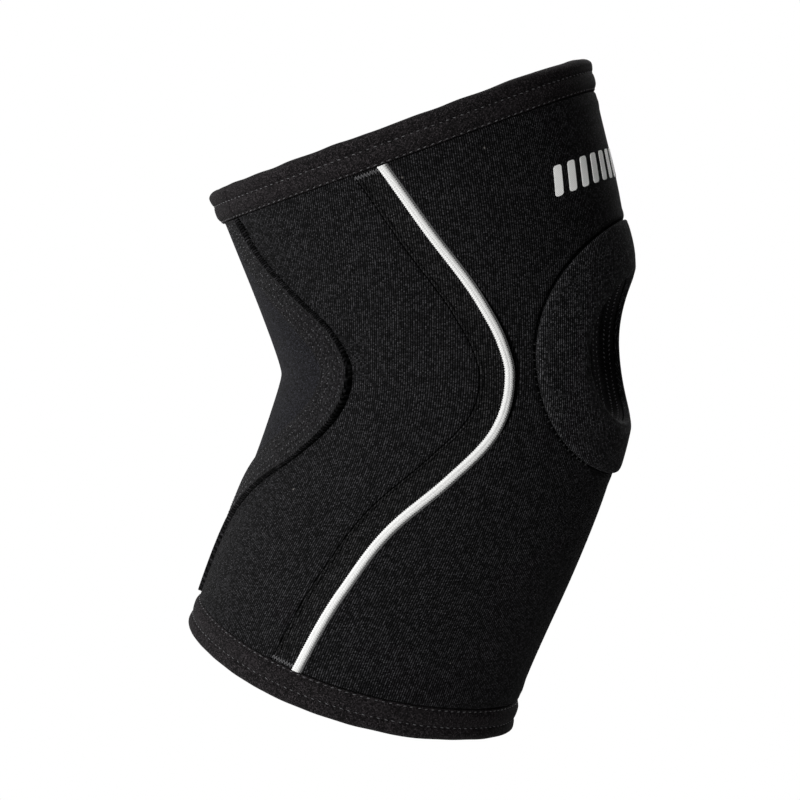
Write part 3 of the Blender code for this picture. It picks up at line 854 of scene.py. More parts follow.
def makeSideStrips():
    front = beside(pipingLine, sleeve["gap"] / 2)
    back = beside(pipingLine, sidePanel["strip"] - sleeve["gap"] / 2)
    for hand, side in ((1, "Left"), (-1, "Right")):
        piece = band("sideStrip" + side, lambda x: angleOn(front, x), lambda x: angleOn(back, x), hand,
                     {**sideStrip, "shape": sideStripShape, "nearSecond": stripSteps},
                     [finishes["stripKnit"], finishes["liningJersey"]])
        bendWithKnee(piece)
        low = side.lower()
        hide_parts(f"side_strip_{low}_thigh", f"side_strip_{low}_calf")


# the kneecap opening and the pad round it
opening = {
    "width": 63 * mm,
    "height": 52 * mm,
    "rise": 1 * mm,
    "liningWall": 1.2 * mm,
    "flange": 7 * mm,
    "turnedIn": -0.3 * mm,  # how low the pad's cloth reaches inside the hole
    # how far out from the hole, and height: two rows on the wall, and two inside the sleeve
    "stitchRows": (
        (-0.05 * mm, -2.4 * mm), (-0.05 * mm, -4.5 * mm), (1.9 * mm, -6.5 * mm), (4.8 * mm, -6.5 * mm),
    ),
    "stitchCount": 96,  # in each row
    "stitch": (1.0 * mm, 0.5 * mm, 0.5 * mm),
}
pad = {
    "width": 108 * mm,
    "height": 91 * mm,
    "rise": 2 * mm,
    "edge": 1.9 * mm,
    "proud": 3.0 * mm,
    "rimProud": 2.3 * mm,  # at the hole
    "slope": 0.3 * mm,  # how much lower it is near its seam
    "shell": 0.9 * mm,
    "shoulder": 0.84,  # share of the way out at which it starts to fall
    # the seam's own fold: share of the way out, and height
    "tuck": (
        (0.972, -1.1 * mm), (0.974, -0.5 * mm), (0.979, 0.15 * mm), (0.987, 0.7 * mm), (0.994, 1.15 * mm),
        (0.996, 1.6 * mm), (0.99, 2.0 * mm),
    ),
    "crease": 0.6 * mm,  # depth of the line the panel is drawn into along the seam
    "rim": 1.5 * mm,  # radius of the edge that rolls into the hole
    "thinned": 0.5,  # share that it loses at its upper end
    "coreReach": (0.1, 0.8),  # where the foam starts and stops, as shares of the way out
    "stitch": (1.5 * mm, 0.55 * mm, 0.7 * mm),
    "stitchPitch": 2.9 * mm,
    "columns": 320,
}


def oval(width, height, rise, phi):
    return rise + height / 2 * np.sin(phi), angleAt(width / 2 * np.cos(phi))


def openingOval(grown, phi):
    return oval(opening["width"] + 2 * grown, opening["height"] + 2 * grown, opening["rise"], phi)


def padOval(phi, grown=0.0):
    return oval(pad["width"] + 2 * grown, pad["height"] + 2 * grown, pad["rise"], phi)


frontPanel = {
    "sideRows": 120, "endRows": 100, "columns": 26, "innerColumns": 12, "grain": 0, "shift": (0.0, 0.0),
    "margin": opening["liningWall"] + sleeve["gap"],
    "groove": 1.5 * mm,  # depth of the open seam that shows in front of the braid
    "seamStart": 2.05 * mm,  # how far that seam is from the panel's edge
    "seam": (0.8 * mm, 1.2 * mm),  # its width at the hems, and how much wider at the knee
}


def padOutlineShare(hole, distance, theta):
    # share of the way from the hole to the panel's edge at which the pad's seam is crossed
    share = np.linspace(0, 1, 400)[None, :]
    d = hole[0][:, None] + (distance - hole[0])[:, None] * share
    t = hole[1][:, None] + (theta - hole[1])[:, None] * share
    out = np.hypot((d - pad["rise"]) / (pad["height"] / 2), arcAt(t) / (pad["width"] / 2))
    return share[0][np.argmax(out > 1, axis=1)]


def makeFrontPanel():
    edge = beside(pipingLine, -sleeve["gap"] / 2)
    side = np.linspace(-clothEnd, clothEnd, frontPanel["sideRows"])
    across = np.linspace(1, -1, frontPanel["endRows"])[1:-1]
    # round the outside: up the left, over the thigh, down the right and back under the calf
    levels = np.concatenate([side, clothEnd + 0 * across, side[::-1], -clothEnd + 0 * across])
    theta = np.concatenate([
        angleOn(edge, side), angleOn(edge, clothEnd) * across, -angleOn(edge, side[::-1]),
        -angleOn(edge, -clothEnd) * across,
    ])
    distance = distanceOf(levels, theta)
    start = math.asin(-opening["rise"] / (opening["height"] / 2 + frontPanel["margin"]))
    turn = np.arctan2(np.abs(distance) / opening["height"], arcAt(theta) / opening["width"]) / pi
    phi = np.where(distance >= 0, start + turn * (pi - 2 * start), start - turn * (pi + 2 * start))
    hole = openingOval(frontPanel["margin"], phi)
    reach = np.linalg.norm(skin(distance, theta) - skin(*hole), axis=-1)
    # the open seam in front of the braid is widest at the knee
    seamWide = frontPanel["seam"][0] + frontPanel["seam"][1] * np.exp(-(levels / 0.4) ** 2)
    seamStart = frontPanel["seamStart"]
    near = np.concatenate([
        np.append(np.array((0, 0.25, 0.9, 1.6, 1.95)) * mm, seamStart)[None, :] + 0 * reach[:, None],
        seamStart + np.array((0.15, 0.5, 0.85, 1.0))[None, :] * seamWide[:, None],
        seamStart + seamWide[:, None] + np.array((0.3, 1.0, 2.2)) * mm,
    ], axis=1)
    out = 1 - near / reach[:, None]
    # more columns on both sides of the pad's seam, which draws the cloth into a crease
    outline = padOutlineShare(hole, distance, theta)
    inner = outline[:, None] * np.linspace(0, 1, frontPanel["innerColumns"])[None, :-1] ** 0.5
    creaseSteps = np.array((0, 0.25, 0.5, 0.8, 1.2, 1.8, 2.8)) * mm / reach[:, None]
    outerStart = outline[:, None] + creaseSteps[:, -1:]
    rest = np.linspace(0, 1, frontPanel["columns"])[None, 1:-1]
    outer = outerStart + (out[:, -1:] - outerStart) * rest
    shares = np.concatenate([inner, outline[:, None] + creaseSteps, outer, out[:, ::-1]], axis=1)
    allDistance = hole[0][:, None] + (distance - hole[0])[:, None] * shares
    allTheta = hole[1][:, None] + (theta - hole[1])[:, None] * shares
    fromEdge = (1 - shares) * reach[:, None]
    pillow = 0.3 * mm * np.exp(-((fromEdge - 4.2 * mm) / (1.8 * mm)) ** 2)
    atBraid = np.clip((0.995 - np.abs(levels)) / 0.01, 0, 1)[:, None]
    seamMiddle = seamStart + seamWide[:, None] / 2
    seamHalf = 1.05 * (seamMiddle - 1.9 * mm)
    groove = frontPanel["groove"] * np.exp(-((fromEdge - seamMiddle) / seamHalf) ** 6) * atBraid
    # the crease is deepest at the top of the pad, and nearly closed under it
    beyond = (shares - outline[:, None]) * reach[:, None]
    upper = 0.55 + 0.45 * np.sin(phi)[:, None]
    crease = pad["crease"] * upper * np.exp(-np.maximum(beyond / (0.55 * mm), -beyond / (0.5 * mm)) ** 2)
    swell = 0.35 * mm * np.exp(-((beyond - 2.2 * mm) / (1.4 * mm)) ** 2)
    lift = pillow + swell - crease - groove - rounded(0.9 * mm, 0.9 * mm, fromEdge)
    top = skin(allDistance, allTheta, lift)
    bottom = skin(allDistance, allTheta, -sleeve["wall"] + rounded(0.6 * mm, 0.6 * mm, fromEdge))
    places = clothPlaces(allDistance, allTheta, frontPanel["grain"], frontPanel["shift"])
    points, places = closedSection(top, bottom, places)
    places = np.concatenate([places, places[:1]])
    count, innerCount = shares.shape[1], frontPanel["innerColumns"] - 1
    inside = np.zeros(points.shape[:2], int)
    inside[:, count:] = 1
    inside[:, count - 10:count - 5] = 2 * (np.abs(levels) < 0.99)[:, None]  # painted shade down the open seam
    inside[:, innerCount - 1:innerCount + 1] = 2  # painted shade in the crease round the pad
    # one more column of painted shade along the crease's upper part
    inside[:, innerCount + 1] = 2 * (np.sin(phi) > 0.1)
    cloths = [finishes["neopreneKnit"], finishes["liningJersey"], finishes["paintedSeamShade"]]
    piece = gridPiece("frontPanel", points, places, cloths, inside, ring=True)
    bendWithKnee(piece)
    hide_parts("front_panel_thigh", "front_panel_calf")


def padHeight(share):
    # a quick rise from the seam, then a slow one to its highest just outside the hole
    fall = np.clip((share - pad["shoulder"]) / (1 - pad["shoulder"]), 0, 1)
    crest = pad["rimProud"] + (pad["proud"] - pad["rimProud"]) * np.sin(pi / 2 * np.clip(share / 0.14, 0, 1))
    slope = pad["slope"] * np.clip(share - 0.14, 0, 1) ** 1.3
    return crest - slope - (crest - slope - pad["edge"]) * (1 - np.sqrt(1 - fall ** 2))


def padEase(share, phi):
    # the pad thins out towards its upper end
    return 1 - pad["thinned"] * np.maximum(np.sin(phi), 0) ** 3 * np.clip((share - 0.35) / 0.6, 0, 1) ** 1.5


def padPlace(share, phi):
    near, far = openingOval(frontPanel["margin"], phi), padOval(phi)
    return tuple(a + (b - a) * share for a, b in zip(near, far))


def makePadCover():
    phi = np.linspace(0, 2 * pi, pad["columns"], endpoint=False)
    shares = np.linspace(0.97, 0, 30)
    rim, shell, hole = pad["rim"], pad["shell"], frontPanel["margin"]

    def lens(lower):
        out = [
            skin(*padPlace(share - (0.03 if lower else 0), phi),
                 height * (padEase(share, phi) if height > 0 else 1))
            for share, height in pad["tuck"]
        ]
        return out + [
            skin(*padPlace(share, phi), padHeight(share) * padEase(share, phi) - lower * padEase(share, phi))
            for share in shares
        ]

    def wall(lower):
        turn = np.linspace(0, pi / 2, 7)[1:]
        out = [
            skin(*openingOval(hole - (rim - lower) * math.sin(a), phi),
                 pad["rimProud"] - rim + (rim - lower) * math.cos(a))
            for a in turn
        ]
        for height in np.linspace(pad["rimProud"] - rim, opening["turnedIn"], 6)[1:]:
            out.append(skin(*openingOval(hole - rim + lower, phi), height))
        return out

    outer, inner = lens(0) + wall(0), lens(shell) + wall(shell)
    loops = np.array(outer + inner[::-1]).transpose(1, 0, 2)  # one row round the ring, one column a loop
    distance, theta = padOval(phi)
    flat = clothPlaces(distance, theta, 0)
    middle = flat.mean(axis=0)
    path = lengthAlong(loops[0])[:len(outer)]
    pull = 1 - path[None, :, None] / np.linalg.norm(flat - middle, axis=-1)[:, None, None]
    places = middle + (flat - middle)[:, None] * pull + (0.02, 0.013)
    places = np.concatenate([places, places[:, ::-1], places[:, :1]], axis=1)
    places = np.concatenate([places, places[:1]])
    piece = gridPiece("patellaPadCover", loops, places, [finishes["padKnitPaintedLight"]], ring=True, threshold=60)
    bendWithKnee(piece)
    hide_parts("patella_pad_cover")
    print("pad cover", round(path[-1] / mm, 1), "mm from seam to inside the hole")


def makePadCore():
    # the foam ring under the cover
    start, stop = pad["coreReach"]
    phi = np.linspace(0, 2 * pi, 160, endpoint=False)
    shares = np.linspace(start, stop, 12)
    top = [
        skin(*padPlace(share, phi), (padHeight(share) - pad["shell"]) * padEase(share, phi) - 0.2 * mm)
        for share in shares
    ]
    bottom = [skin(*padPlace(share, phi), 0.3 * mm) for share in shares[::-1]]
    loops = np.array(top + bottom).transpose(1, 0, 2)
    around = np.append(phi, 2 * pi) * 44 * mm
    path = np.linspace(0, 30 * mm, loops.shape[1] + 1)
    places = clothGrid(around, path)
    piece = gridPiece("patellaPadCore", loops, places, [finishes["padFoam"]], ring=True, threshold=60)
    bendWithKnee(piece)
    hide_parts("patella_pad_core")


def makeOpeningLining():
    phi = np.linspace(0, 2 * pi, 240, endpoint=False)
    under = -sleeve["wall"] - sleeve["gap"]
    wall = opening["liningWall"]
    top = opening["turnedIn"] - 0.35 * mm
    section = [
        (wall, top), (wall * 0.6, top + 0.15 * mm), (wall * 0.25, top), (0.05 * mm, top - 0.35 * mm),
        (0, -1.6 * mm), (0, -3.2 * mm), (0, -4.8 * mm), (0.02 * mm, under), (0.25 * mm, under - wall * 0.75),
        (0.8 * mm, under - wall), (3.2 * mm, under - wall), (opening["flange"] - 0.5 * mm, under - wall),
        (opening["flange"], under - wall * 0.6), (opening["flange"], under - 0.2 * mm),
        (opening["flange"] - 0.5 * mm, under), (3.2 * mm, under), (wall, under), (wall, -3.2 * mm),
    ]
    loops = np.array([skin(*openingOval(grown, phi), height) for grown, height in section]).transpose(1, 0, 2)
    around = 0.5 * (opening["width"] + opening["height"]) / 2 * 2 * phi
    path = lengthAlong(loops[0])
    places = clothGrid(np.append(around, pi * 61 * mm), np.append(path, path[-1] + 3 * mm))
    piece = gridPiece("openingLining", loops, places, [finishes["seamTape"]], ring=True, threshold=60)
    bendWithKnee(piece)
    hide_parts("patella_opening_lining")
    spots = []
    for row, (grown, height) in enumerate(opening["stitchRows"]):
        angles = np.linspace(0, 2 * pi, opening["stitchCount"], endpoint=False) + 0.025 * row
        place = skin(*openingOval(grown, angles), height)
        inwards, down = (1 * mm, 0) if grown < 0.1 * mm else (0, 1 * mm)
        outward = skin(*openingOval(grown - inwards, angles), height - down) - place
        outward /= np.linalg.norm(outward, axis=-1, keepdims=True)
        along = np.gradient(place, axis=0)
        along /= np.linalg.norm(along, axis=-1, keepdims=True)
        tilt = (1 if row % 2 else -1) * 0.6
        spots.append((place, along + tilt * np.cross(outward, along), outward))
    stitches = sewRows("openingStitching", spots, opening["stitch"], finishes["holeThread"], shortStitch,
                       uneven=(0.6, 1.15), seed=4)
    bendWithKnee(stitches)


# the thin insert behind the knee and the tapes beside it
insert = {
    "sink": 1 * mm, "wall": 3 * mm, "rows": 170, "columns": 66, "grain": 0, "shift": (0.03, 0.02),
    "tip": 3 * mm,  # half its width at its lower end
    # where each fold crosses the knee, its slope, its half width and its depth
    "folds": ((-10 * mm, 0.12, 1.3 * mm, 0.9 * mm), (-22 * mm, 0.45, 2.6 * mm, 0.45 * mm),
              (13 * mm, -0.3, 3.2 * mm, 0.3 * mm)),
}
tape = {
    "width": 13 * mm, "wall": 5 * mm, "proud": 1.2 * mm, "rows": 200, "columns": 22, "least": 4 * mm,
    "grain": 0, "shift": (0.05, 0.01),
    "stitchRows": (2.6 * mm, 5.4 * mm, 8.2 * mm, 11.0 * mm),
    "slope": 0.5 * mm,  # how much lower it lies beside the insert
    "roll": 0.45 * mm,  # height of its rolled front edge
    "dotPitch": 1.8 * mm,
    "dot": (0.85 * mm, 0.46 * mm, 0.5 * mm),
}
kneeDepth, calfDepth = sleeve["kneeLine"][2], sleeve["calfEnd"][2]
middleBack = pi - sleeve["gap"] / 2 / (calfDepth / 2)
insertEdge = beside(tapeLine, tape["width"] + sleeve["gap"])
tapeLines = beside(tapeLine, sleeve["gap"] / 2), beside(tapeLine, tape["width"])


def tapeFront(level):
    return np.minimum(angleOn(tapeLines[0], level), middleBack - tape["least"] / kneeDepth)


def tapeBack(level):
    return np.minimum(angleOn(tapeLines[1], level), middleBack)


def tapeShape(level, share, fromFirst, fromSecond, distance):
    lift = tape["roll"] * np.exp(-((fromFirst - 0.6 * mm) / (0.6 * mm)) ** 2)
    lift = lift - tape["slope"] * share
    lift = lift - rounded(1.3 * mm, 0.35 * mm, fromFirst) - rounded(0.9 * mm, 0.7 * mm, fromSecond)
    for row in tape["stitchRows"]:
        lift = lift - 0.16 * mm * np.exp(-((fromFirst - row) / (0.5 * mm)) ** 2)
    return lift


def makeTapes():
    for hand, side in ((1, "Left"), (-1, "Right")):
        cut = {**tape, "top": tape["proud"], "shape": tapeShape}
        piece = band("poplitealTape" + side, tapeFront, tapeBack, hand, cut,
                     [finishes["seamTape"], finishes["liningJersey"]])
        bendWithKnee(piece)
        low = side.lower()
        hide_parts(f"popliteal_tape_{low}_thigh", f"popliteal_tape_{low}_calf")
        rows = []
        for row in tape["stitchRows"]:
            levels = np.linspace(-0.985, 0.985, 300)
            line = beside(tapeLine, row)
            keep = angleOn(line, levels) < tapeBack(levels) - 0.3 * mm / kneeDepth
            levels = levels[keep]
            theta = angleOn(line, levels)
            distance = distanceOf(levels, theta)
            height = tape["proud"] - tape["slope"] * row / tape["width"] - 0.06 * mm
            rows.append(seamRow(distance, hand * theta, height, tape["dotPitch"], 50 if row < 6 * mm else -50,
                                jitter=0.22, seed=int(row / mm * 10)))
        dots = sewRows("poplitealStitching" + side, rows, tape["dot"], finishes["dotThread"], shortStitch,
                       uneven=(0.55, 1.1), seed=12)
        bendWithKnee(dots)


def insertShape(level, share, fromFirst, fromSecond, distance):
    # soft folds where the thin cloth gathers behind the knee
    width = fromFirst + fromSecond
    lift = -rounded(0.8 * mm, 0.8 * mm, fromFirst) - rounded(0.8 * mm, 0.8 * mm, fromSecond)
    inner = np.clip(np.minimum(fromFirst, fromSecond) / (6 * mm), 0, 1)
    x = (share - 0.5) * width
    for at, slope, spread, deep in insert["folds"]:
        line = distance - at - slope * np.abs(x) + 1.5 * mm * np.sin(x / (11 * mm) + at / mm)
        # each fold dies away towards the middle, where the cloth is drawn tight
        side = np.clip(np.abs(x) / (0.5 * width) * 1.25 - 0.35, 0, 1)
        lift = lift - deep * np.exp(-(line / spread) ** 2) * inner * side
        lift = lift + deep * 0.45 * np.exp(-((line - 1.8 * spread) / (1.3 * spread)) ** 2) * inner * side
    return lift


def makeInsert():
    levels = np.linspace(0, 1, 401)
    wide = pi - angleOn(insertEdge, -levels) > insert["tip"] / kneeDepth
    cut = {**insert, "top": -insert["sink"], "shape": insertShape, "levels": (-levels[wide].max(), 1)}
    piece = band("poplitealInsert", lambda x: angleOn(insertEdge, x),
                 lambda x: 2 * pi - angleOn(insertEdge, x), 1, cut,
                 [finishes["insertKnit"], finishes["liningJersey"]])
    bendWithKnee(piece)
    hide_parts("popliteal_insert_thigh", "popliteal_insert_calf")


# hems
def hemSection():
    # loops of (distance from the edge, height) round the folded binding
    proud, wall, width, fold = hem["proud"], hem["wall"], hem["width"], hem["fold"]
    middle, half = proud - wall / 2, wall / 2
    outer = [width - 0.15 * mm, width - 0.2 * mm, width - 0.4 * mm, width - 0.8 * mm]
    outer += list(np.linspace(width - 1.3 * mm, fold, hem["outerLoops"]))
    section = []
    for gone in outer:
        drop = rounded(0.4 * mm, 0.5 * mm, width - 0.15 * mm - gone)
        lift = 0.0
        if gone > hem["rows"][0]:
            share = (gone - hem["rows"][0]) / (hem["rows"][1] - hem["rows"][0])
            lift += hem["puff"] * math.sin(pi * min(1, share)) if share < 1 else 0
        else:
            lift += 1.2 * hem["puff"] * math.sin(pi / 2 * min(1, (hem["rows"][0] - gone) / (3 * mm)))
        for row in hem["rows"]:
            lift -= hem["pinch"] * math.exp(-((gone - row) / (0.55 * mm)) ** 2)
        sewn = 0.3 + 0.7 * min(1, max(0, (width - gone - 0.6 * mm) / (2 * mm)))
        section.append((gone, proud * sewn + lift - drop))
    top = section[-1][1]
    for angle in np.linspace(0, pi, 15)[1:]:
        peak = top if angle < pi / 2 else middle + half
        section.append((fold * (1 - math.sin(angle)), middle + (peak - middle) * math.cos(angle)))
    section += [(gone, middle - half) for gone in np.linspace(fold, width - 0.6 * mm, 10)[1:]]
    lip, low = hem["lip"], middle - half
    section += [
        (width + lip, low), (width + lip, low + 0.3 * mm), (width - 0.1 * mm, low + 0.35 * mm),
        (width - 0.15 * mm, low + 0.7 * mm),
    ]
    return section


def hemHeightAt(gone):
    section = hemSection()[:4 + hem["outerLoops"]]
    return float(np.interp(-gone, [-g for g, _ in section], [h for _, h in section]))


def makeHem(way, name, body):
    theta = np.linspace(-pi, pi, hem["columns"], endpoint=False)
    full = limbLength(way, theta)
    place = skinFrame(way * full, theta)[0]
    waver = hem["waver"] * evenField(place, hem["waverSize"], 11 + way)
    # the binding dips where the seams behind run into it
    division = seams["tape"][-1][1] if way > 0 else 180.0
    cutAngles = np.radians([division, -division])
    split = sum(np.exp(-((np.abs(theta - cut)) * 60 * mm / (0.5 * mm)) ** 2) for cut in cutAngles)
    section = hemSection()
    arc = lengthAlong(place)
    loops, loopPlaces, gonePath = [], [], 0.0
    last = section[0]
    for gone, height in section:
        nearRow = sum(math.exp(-((gone - row) / (0.8 * mm)) ** 2) for row in hem["rows"]) if height > 0 else 0
        beat = 0.5 + 0.5 * np.cos(2 * pi * arc / hem["stitchPitch"])
        fade = max(0.0, 1 - gone / hem["width"])
        lift = height - 0.14 * mm * nearRow * beat - (0.55 * mm * split if height > 0 else 0)
        loops.append(skin(way * (full - gone + waver * fade), theta, lift))
        gonePath += math.hypot(gone - last[0], height - last[1])
        last = (gone, height)
        loopPlaces.append(gonePath)
    points = np.array(loops).transpose(1, 0, 2)
    places = clothGrid(np.append(arc, arc[-1] + 0.9 * mm), np.append(loopPlaces, loopPlaces[-1] + 5 * mm))
    piece = gridPiece(name, points, places + 0.01 * (way + 1), [finishes["hemBinding"]], ring=True,
                      threshold=60)
    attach(piece, body)
    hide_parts(body + "_hem")
    rows = []
    for k, row in enumerate(hem["rows"]):
        ring = np.linspace(-pi, pi, 900)
        distance = way * (limbLength(way, ring) - row)
        height = hemHeightAt(row) + 0.05 * mm
        rows.append(seamRow(distance, ring, height, hem["stitchPitch"], 9 if k else -7, ring=True,
                            jitter=0.04, seed=3 + k))
    stitches = sewRows(name + "Stitching", rows, hem["stitch"], finishes["paleThread"],
                       uneven=(0.8, 1.1), seed=6)
    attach(stitches, body)
    return [piece, stitches]


# the white braid, the bars of stitches at its ends, and the print
piping = {
    "width": 3 * mm, "height": 1.3 * mm, "pitch": 0.85 * mm, "perRow": 0.17 * mm, "zigzag": 0.12 * mm,
    "relief": 0.22 * mm, "columns": 15,
    "margin": 0.65 * mm, "marginWall": 0.35 * mm,  # the braid's flat edge in front
}


def makePiping():
    levels = np.linspace(-clothEnd, clothEnd, 60)
    theta = angleOn(pipingLine, levels)
    path = skinFrame(distanceOf(levels, theta), theta)[0]
    along = lengthAlong(path)
    marks = np.linspace(0, along[-1], int(along[-1] / piping["perRow"]))
    levels = np.interp(marks, along, levels)
    half = piping["width"] / 2
    a, b = (angleOn(beside(pipingLine, s * half), levels)[:, None] for s in (-1, 1))
    beat = 2 * pi * marks[:, None] / piping["pitch"]
    sides = np.linspace(-1, 1, piping["columns"])[None, :]
    across = sides * (1 + piping["zigzag"] / half * np.cos(beat) * np.abs(sides) ** 4)
    braid = np.abs(np.sin(beat / 2 + 1.5 * pi * np.abs(sides)))
    braid = braid * (0.4 + 0.6 * np.abs(np.sin(1.5 * pi * sides)))
    crown = np.sqrt(np.maximum(1 - np.abs(sides) ** 3, 0))
    lift = 0.25 * mm + (piping["height"] - piping["relief"]) * crown + piping["relief"] * braid
    # the margin lies in front of the braid, where the two are sewn down
    steps = np.array([(-1 - piping["margin"] / half * share) for share in (1, 0.93, 0.6, 0.3, 0.06)])[None, :]
    weft = 0.05 * mm * np.cos(beat * 2)
    low = np.array((0.1, 0.85, 1.0, 1.0, 0.9))[None, :] * piping["marginWall"] + weft
    across = np.concatenate([steps + 0 * marks[:, None], across], axis=1)
    lift = np.concatenate([low, lift], axis=1)
    for hand, side in ((1, "Left"), (-1, "Right")):
        theta = hand * ((a + b) / 2 + (b - a) / 2 * across)
        distance = distanceOf(levels[:, None] + 0 * theta, theta)
        top = skin(distance, theta, lift)
        bottom = skin(distance, theta, np.minimum(-0.4 * mm, lift - 0.1 * mm))
        places = clothGrid(marks, across[0] * half)
        points, places = closedSection(top, bottom, places)
        margin = np.arange(points.shape[1]) < steps.shape[1]
        piece = gridPiece("reflectivePiping" + side, points, places,
                          [finishes["pipingBraid"], finishes["pipingMargin"]], margin, threshold=70)
        bendWithKnee(piece)
        name = "reflective_piping_" + side.lower()
        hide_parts(name + "_thigh", name + "_calf")


bartack = {
    "inset": 0.6 * mm,  # from the hem's seam
    "length": 1.6 * mm,
    "pitch": 0.55 * mm,
    "stitch": (1.7 * mm, 0.34 * mm, 0.4 * mm),
}


def makeBartacks():
    first = beside(pipingLine, piping["width"] / 2 + 0.2 * mm)
    second = beside(pipingLine, sidePanel["strip"] + 0.2 * mm)
    for hand, side in ((1, "left"), (-1, "right")):
        for way, body in ((1, "thigh"), (-1, "calf")):
            middle = bartack["inset"] + bartack["length"] / 2
            level = way * (1 - middle / sleeve["seamReach"])
            a, b = angleOn(first, level), angleOn(second, level)
            count = int((arcAt(b, level) - arcAt(a, level)) / bartack["pitch"])
            theta = hand * (a + (b - a) * (np.arange(count) + 0.5) / count)
            distance = way * (limbLength(way, theta) - hem["width"] - middle)
            place, up, across, normal = skinFrame(distance, theta)
            place = place + normal * 0.2 * mm
            lean = np.where(np.arange(count) % 2, 0.35, -0.35)[:, None]
            stitches = sew("bartack" + side.title() + body.title(), place, up + lean * across, normal,
                           bartack["stitch"], finishes["paleThread"])
            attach(stitches, body)
            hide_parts(f"bartack_{side}_{body}")


printed = {
    "width": 81 * mm, "height": 10.5 * mm, "belowEdge": 38.5 * mm, "film": 0.12 * mm,
    "bars": 12, "space": 3.2 * mm, "corner": 1.1 * mm, "slant": 0.2,
}


def makePrint():
    # a plain row of slanted bars
    long = (printed["width"] - printed["space"] * (printed["bars"] - 1)) / printed["bars"]
    halfLong, halfTall, corner = long / 2, printed["height"] / 2, printed["corner"]
    level = levelOf(limbLength(1, 0.0) - printed["belowEdge"], 0.0)
    turnOf = arcAt(turns[1:-1], level)
    x = np.sin(pi / 2 * np.linspace(-1, 1, 13))[:, None]
    y = np.sin(pi / 2 * np.linspace(-1, 1, 17))[None, :]
    over = np.maximum(np.abs(x * halfLong) - (halfLong - corner), 0)
    tall = halfTall - corner + np.sqrt(np.maximum(corner ** 2 - over ** 2, 0))
    for k in range(printed["bars"]):
        centre = -printed["width"] / 2 + halfLong + k * (long + printed["space"])
        up = tall * y
        arc = centre + x * halfLong + printed["slant"] * up
        theta = np.interp(arc, turnOf, turns[1:-1])
        distance = limbLength(1, theta) - printed["belowEdge"] + up
        top = skin(distance, theta, 0.06 * mm + printed["film"])
        bottom = skin(distance, theta, 0.02 * mm)
        points, places = closedSection(top, bottom, np.stack([arc, distance], -1))
        piece = gridPiece(f"printBar{k + 1}", points, places, [finishes["printFilm"]])
        bendWithKnee(piece)
        if k == 0:
            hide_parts("thigh_print")


def makePadStitches():
    # short dark stitches over the pad's seam
    rows = []
    for start, stop in ((pi - 0.15, pi + 1.1), (2 * pi - 1.1, 2 * pi + 0.15)):
        distance, theta = padOval(np.linspace(start, stop, 400), 0.1 * mm)
        rows.append(seamRow(distance, theta, 0.25 * mm, pad["stitchPitch"], 80, jitter=0.03, seed=8))
    stitches = sewRows("padStitching", rows, pad["stitch"], finishes["darkThread"], shortStitch)
    bendWithKnee(stitches)


hems = makeHem(1, "thighHem", "thigh") + makeHem(-1, "calfHem", "calf")
makeFrontPanel()
makeSidePanels()
makeSideStrips()
print("panels and strips made")
makeInsert()
makeTapes()
print("insert and tapes made")
makePadCover()
makePadCore()
makeOpeningLining()
makePadStitches()
print("pad and opening made")
makePiping()
makeBartacks()
makePrint()
print("hems, braid, bars of stitches and print made")

# studio
studio = {
    "floorDrop": 0.45,  # it is worn on a leg, well above the floor
    "floorSize": 1.4,
    "floorColour": (0.92, 0.92, 0.92),
    "roomWay": (-0.96, -0.28, 0.1),  # towards the bright side of the room
    # the two soft suns: the way towards each, its strength, and how wide it is in degrees
    "suns": (((-0.24, -0.95, 0.2), 2.25, 35), ((0.1, 0.95, 0.3), 1.2, 40)),
    "roomLeast": 0.03,  # the room's glow on its dark side and on its bright side
    "roomMost": 2.3,
    "roomEdge": -0.35,  # how far round from the light the room falls dark, as a cosine
    "roomFall": 1.7,
}


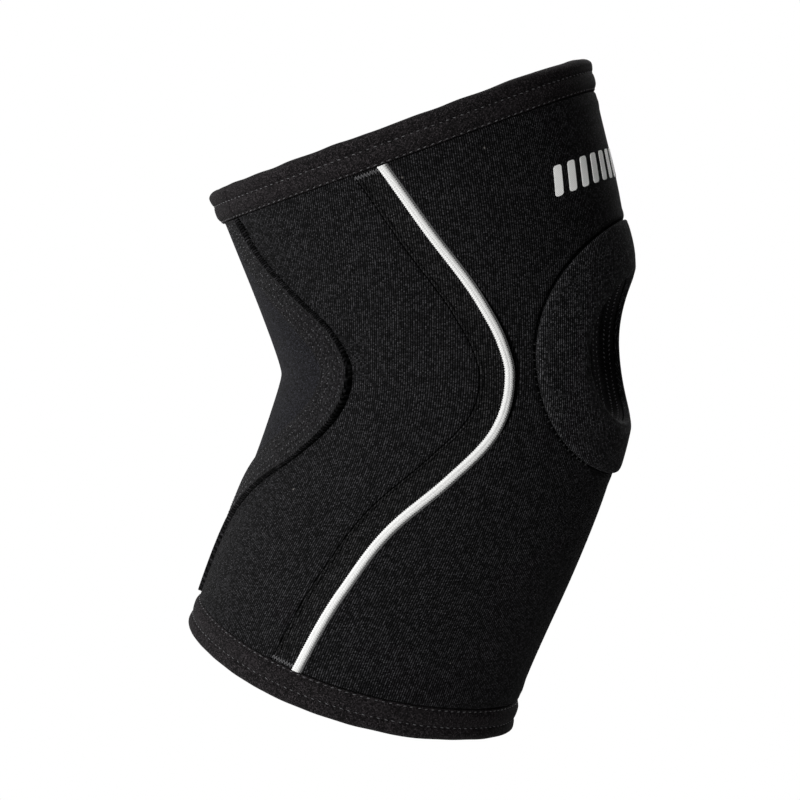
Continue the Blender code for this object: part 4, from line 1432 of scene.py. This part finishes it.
def makeStudio():
    low = cadBox[0][2] - studio["floorDrop"]
    bpy.ops.object.select_all(action="DESELECT")
    bpy.ops.mesh.primitive_plane_add(size=studio["floorSize"], location=(0, 0, low))
    floor = bpy.context.object
    floor.name = "floor"
    paint = bpy.data.materials.new("paleFloor")
    paint.use_nodes = True
    shader = paint.node_tree.nodes["Principled BSDF"]
    shader.inputs["Base Color"].default_value = (*studio["floorColour"], 1)
    shader.inputs["Roughness"].default_value = 1.0
    shader.inputs["Specular IOR Level"].default_value = 0.0
    floor.data.materials.append(paint)
    world = bpy.data.worlds.new("softRoom")
    bpy.context.scene.world = world
    world.use_nodes = True
    tree = NodeTree(world.node_tree)
    room = tree.add("ShaderNodeTexCoord").outputs["Generated"]
    facing = tree.add("ShaderNodeVectorMath", operation="DOT_PRODUCT")
    tree.put(facing.inputs[0], room)
    facing.inputs[1].default_value = Vector(studio["roomWay"]).normalized()
    glow = tree.remap(facing.outputs["Value"], studio["roomEdge"], 1, 0, 1)
    glow = tree.math("MULTIPLY_ADD", tree.math("POWER", glow, studio["roomFall"]), studio["roomMost"],
                     studio["roomLeast"])
    # the room itself shows plain and pale
    seen = tree.add("ShaderNodeLightPath").outputs["Is Camera Ray"]
    shown = tree.add("ShaderNodeMix", data_type="FLOAT")
    for socket, value in zip(shown.inputs[:1] + shown.inputs[2:4], (seen, glow, 1.0)):
        tree.put(socket, value)
    back = world.node_tree.nodes["Background"]
    tree.put(back.inputs["Strength"], shown.outputs[0])
    back.inputs["Color"].default_value = (1, 1, 1, 1)
    for way, strength, wide in studio["suns"]:
        bpy.ops.object.light_add(type="SUN")
        sun = bpy.context.object
        sun.rotation_euler = Vector(way).to_track_quat("Z", "Y").to_euler()
        sun.data.energy = strength
        sun.data.angle = math.radians(wide)
    bpy.context.scene.view_settings.view_transform = "Standard"


view = {
    "target": (-0.0211, 0, -0.0142),
    "azimuth": 12,
    "elevation": 4.8,
    "distance": 1.8,
    "lens": 223.5,
}


def makeCamera():
    a, e = math.radians(view["azimuth"]), math.radians(view["elevation"])
    back = (math.sin(a) * math.cos(e), -math.cos(a) * math.cos(e), math.sin(e))
    bpy.ops.object.camera_add(location=[t + b * view["distance"] for t, b in zip(view["target"], back)])
    camera = bpy.context.object
    camera.rotation_euler = (pi / 2 - e, 0, a)
    camera.data.lens = view["lens"]
    camera.data.clip_start = 0.1
    camera.data.clip_end = 200
    bpy.context.scene.camera = camera


makeStudio()
makeCamera()
print("studio and camera ready")
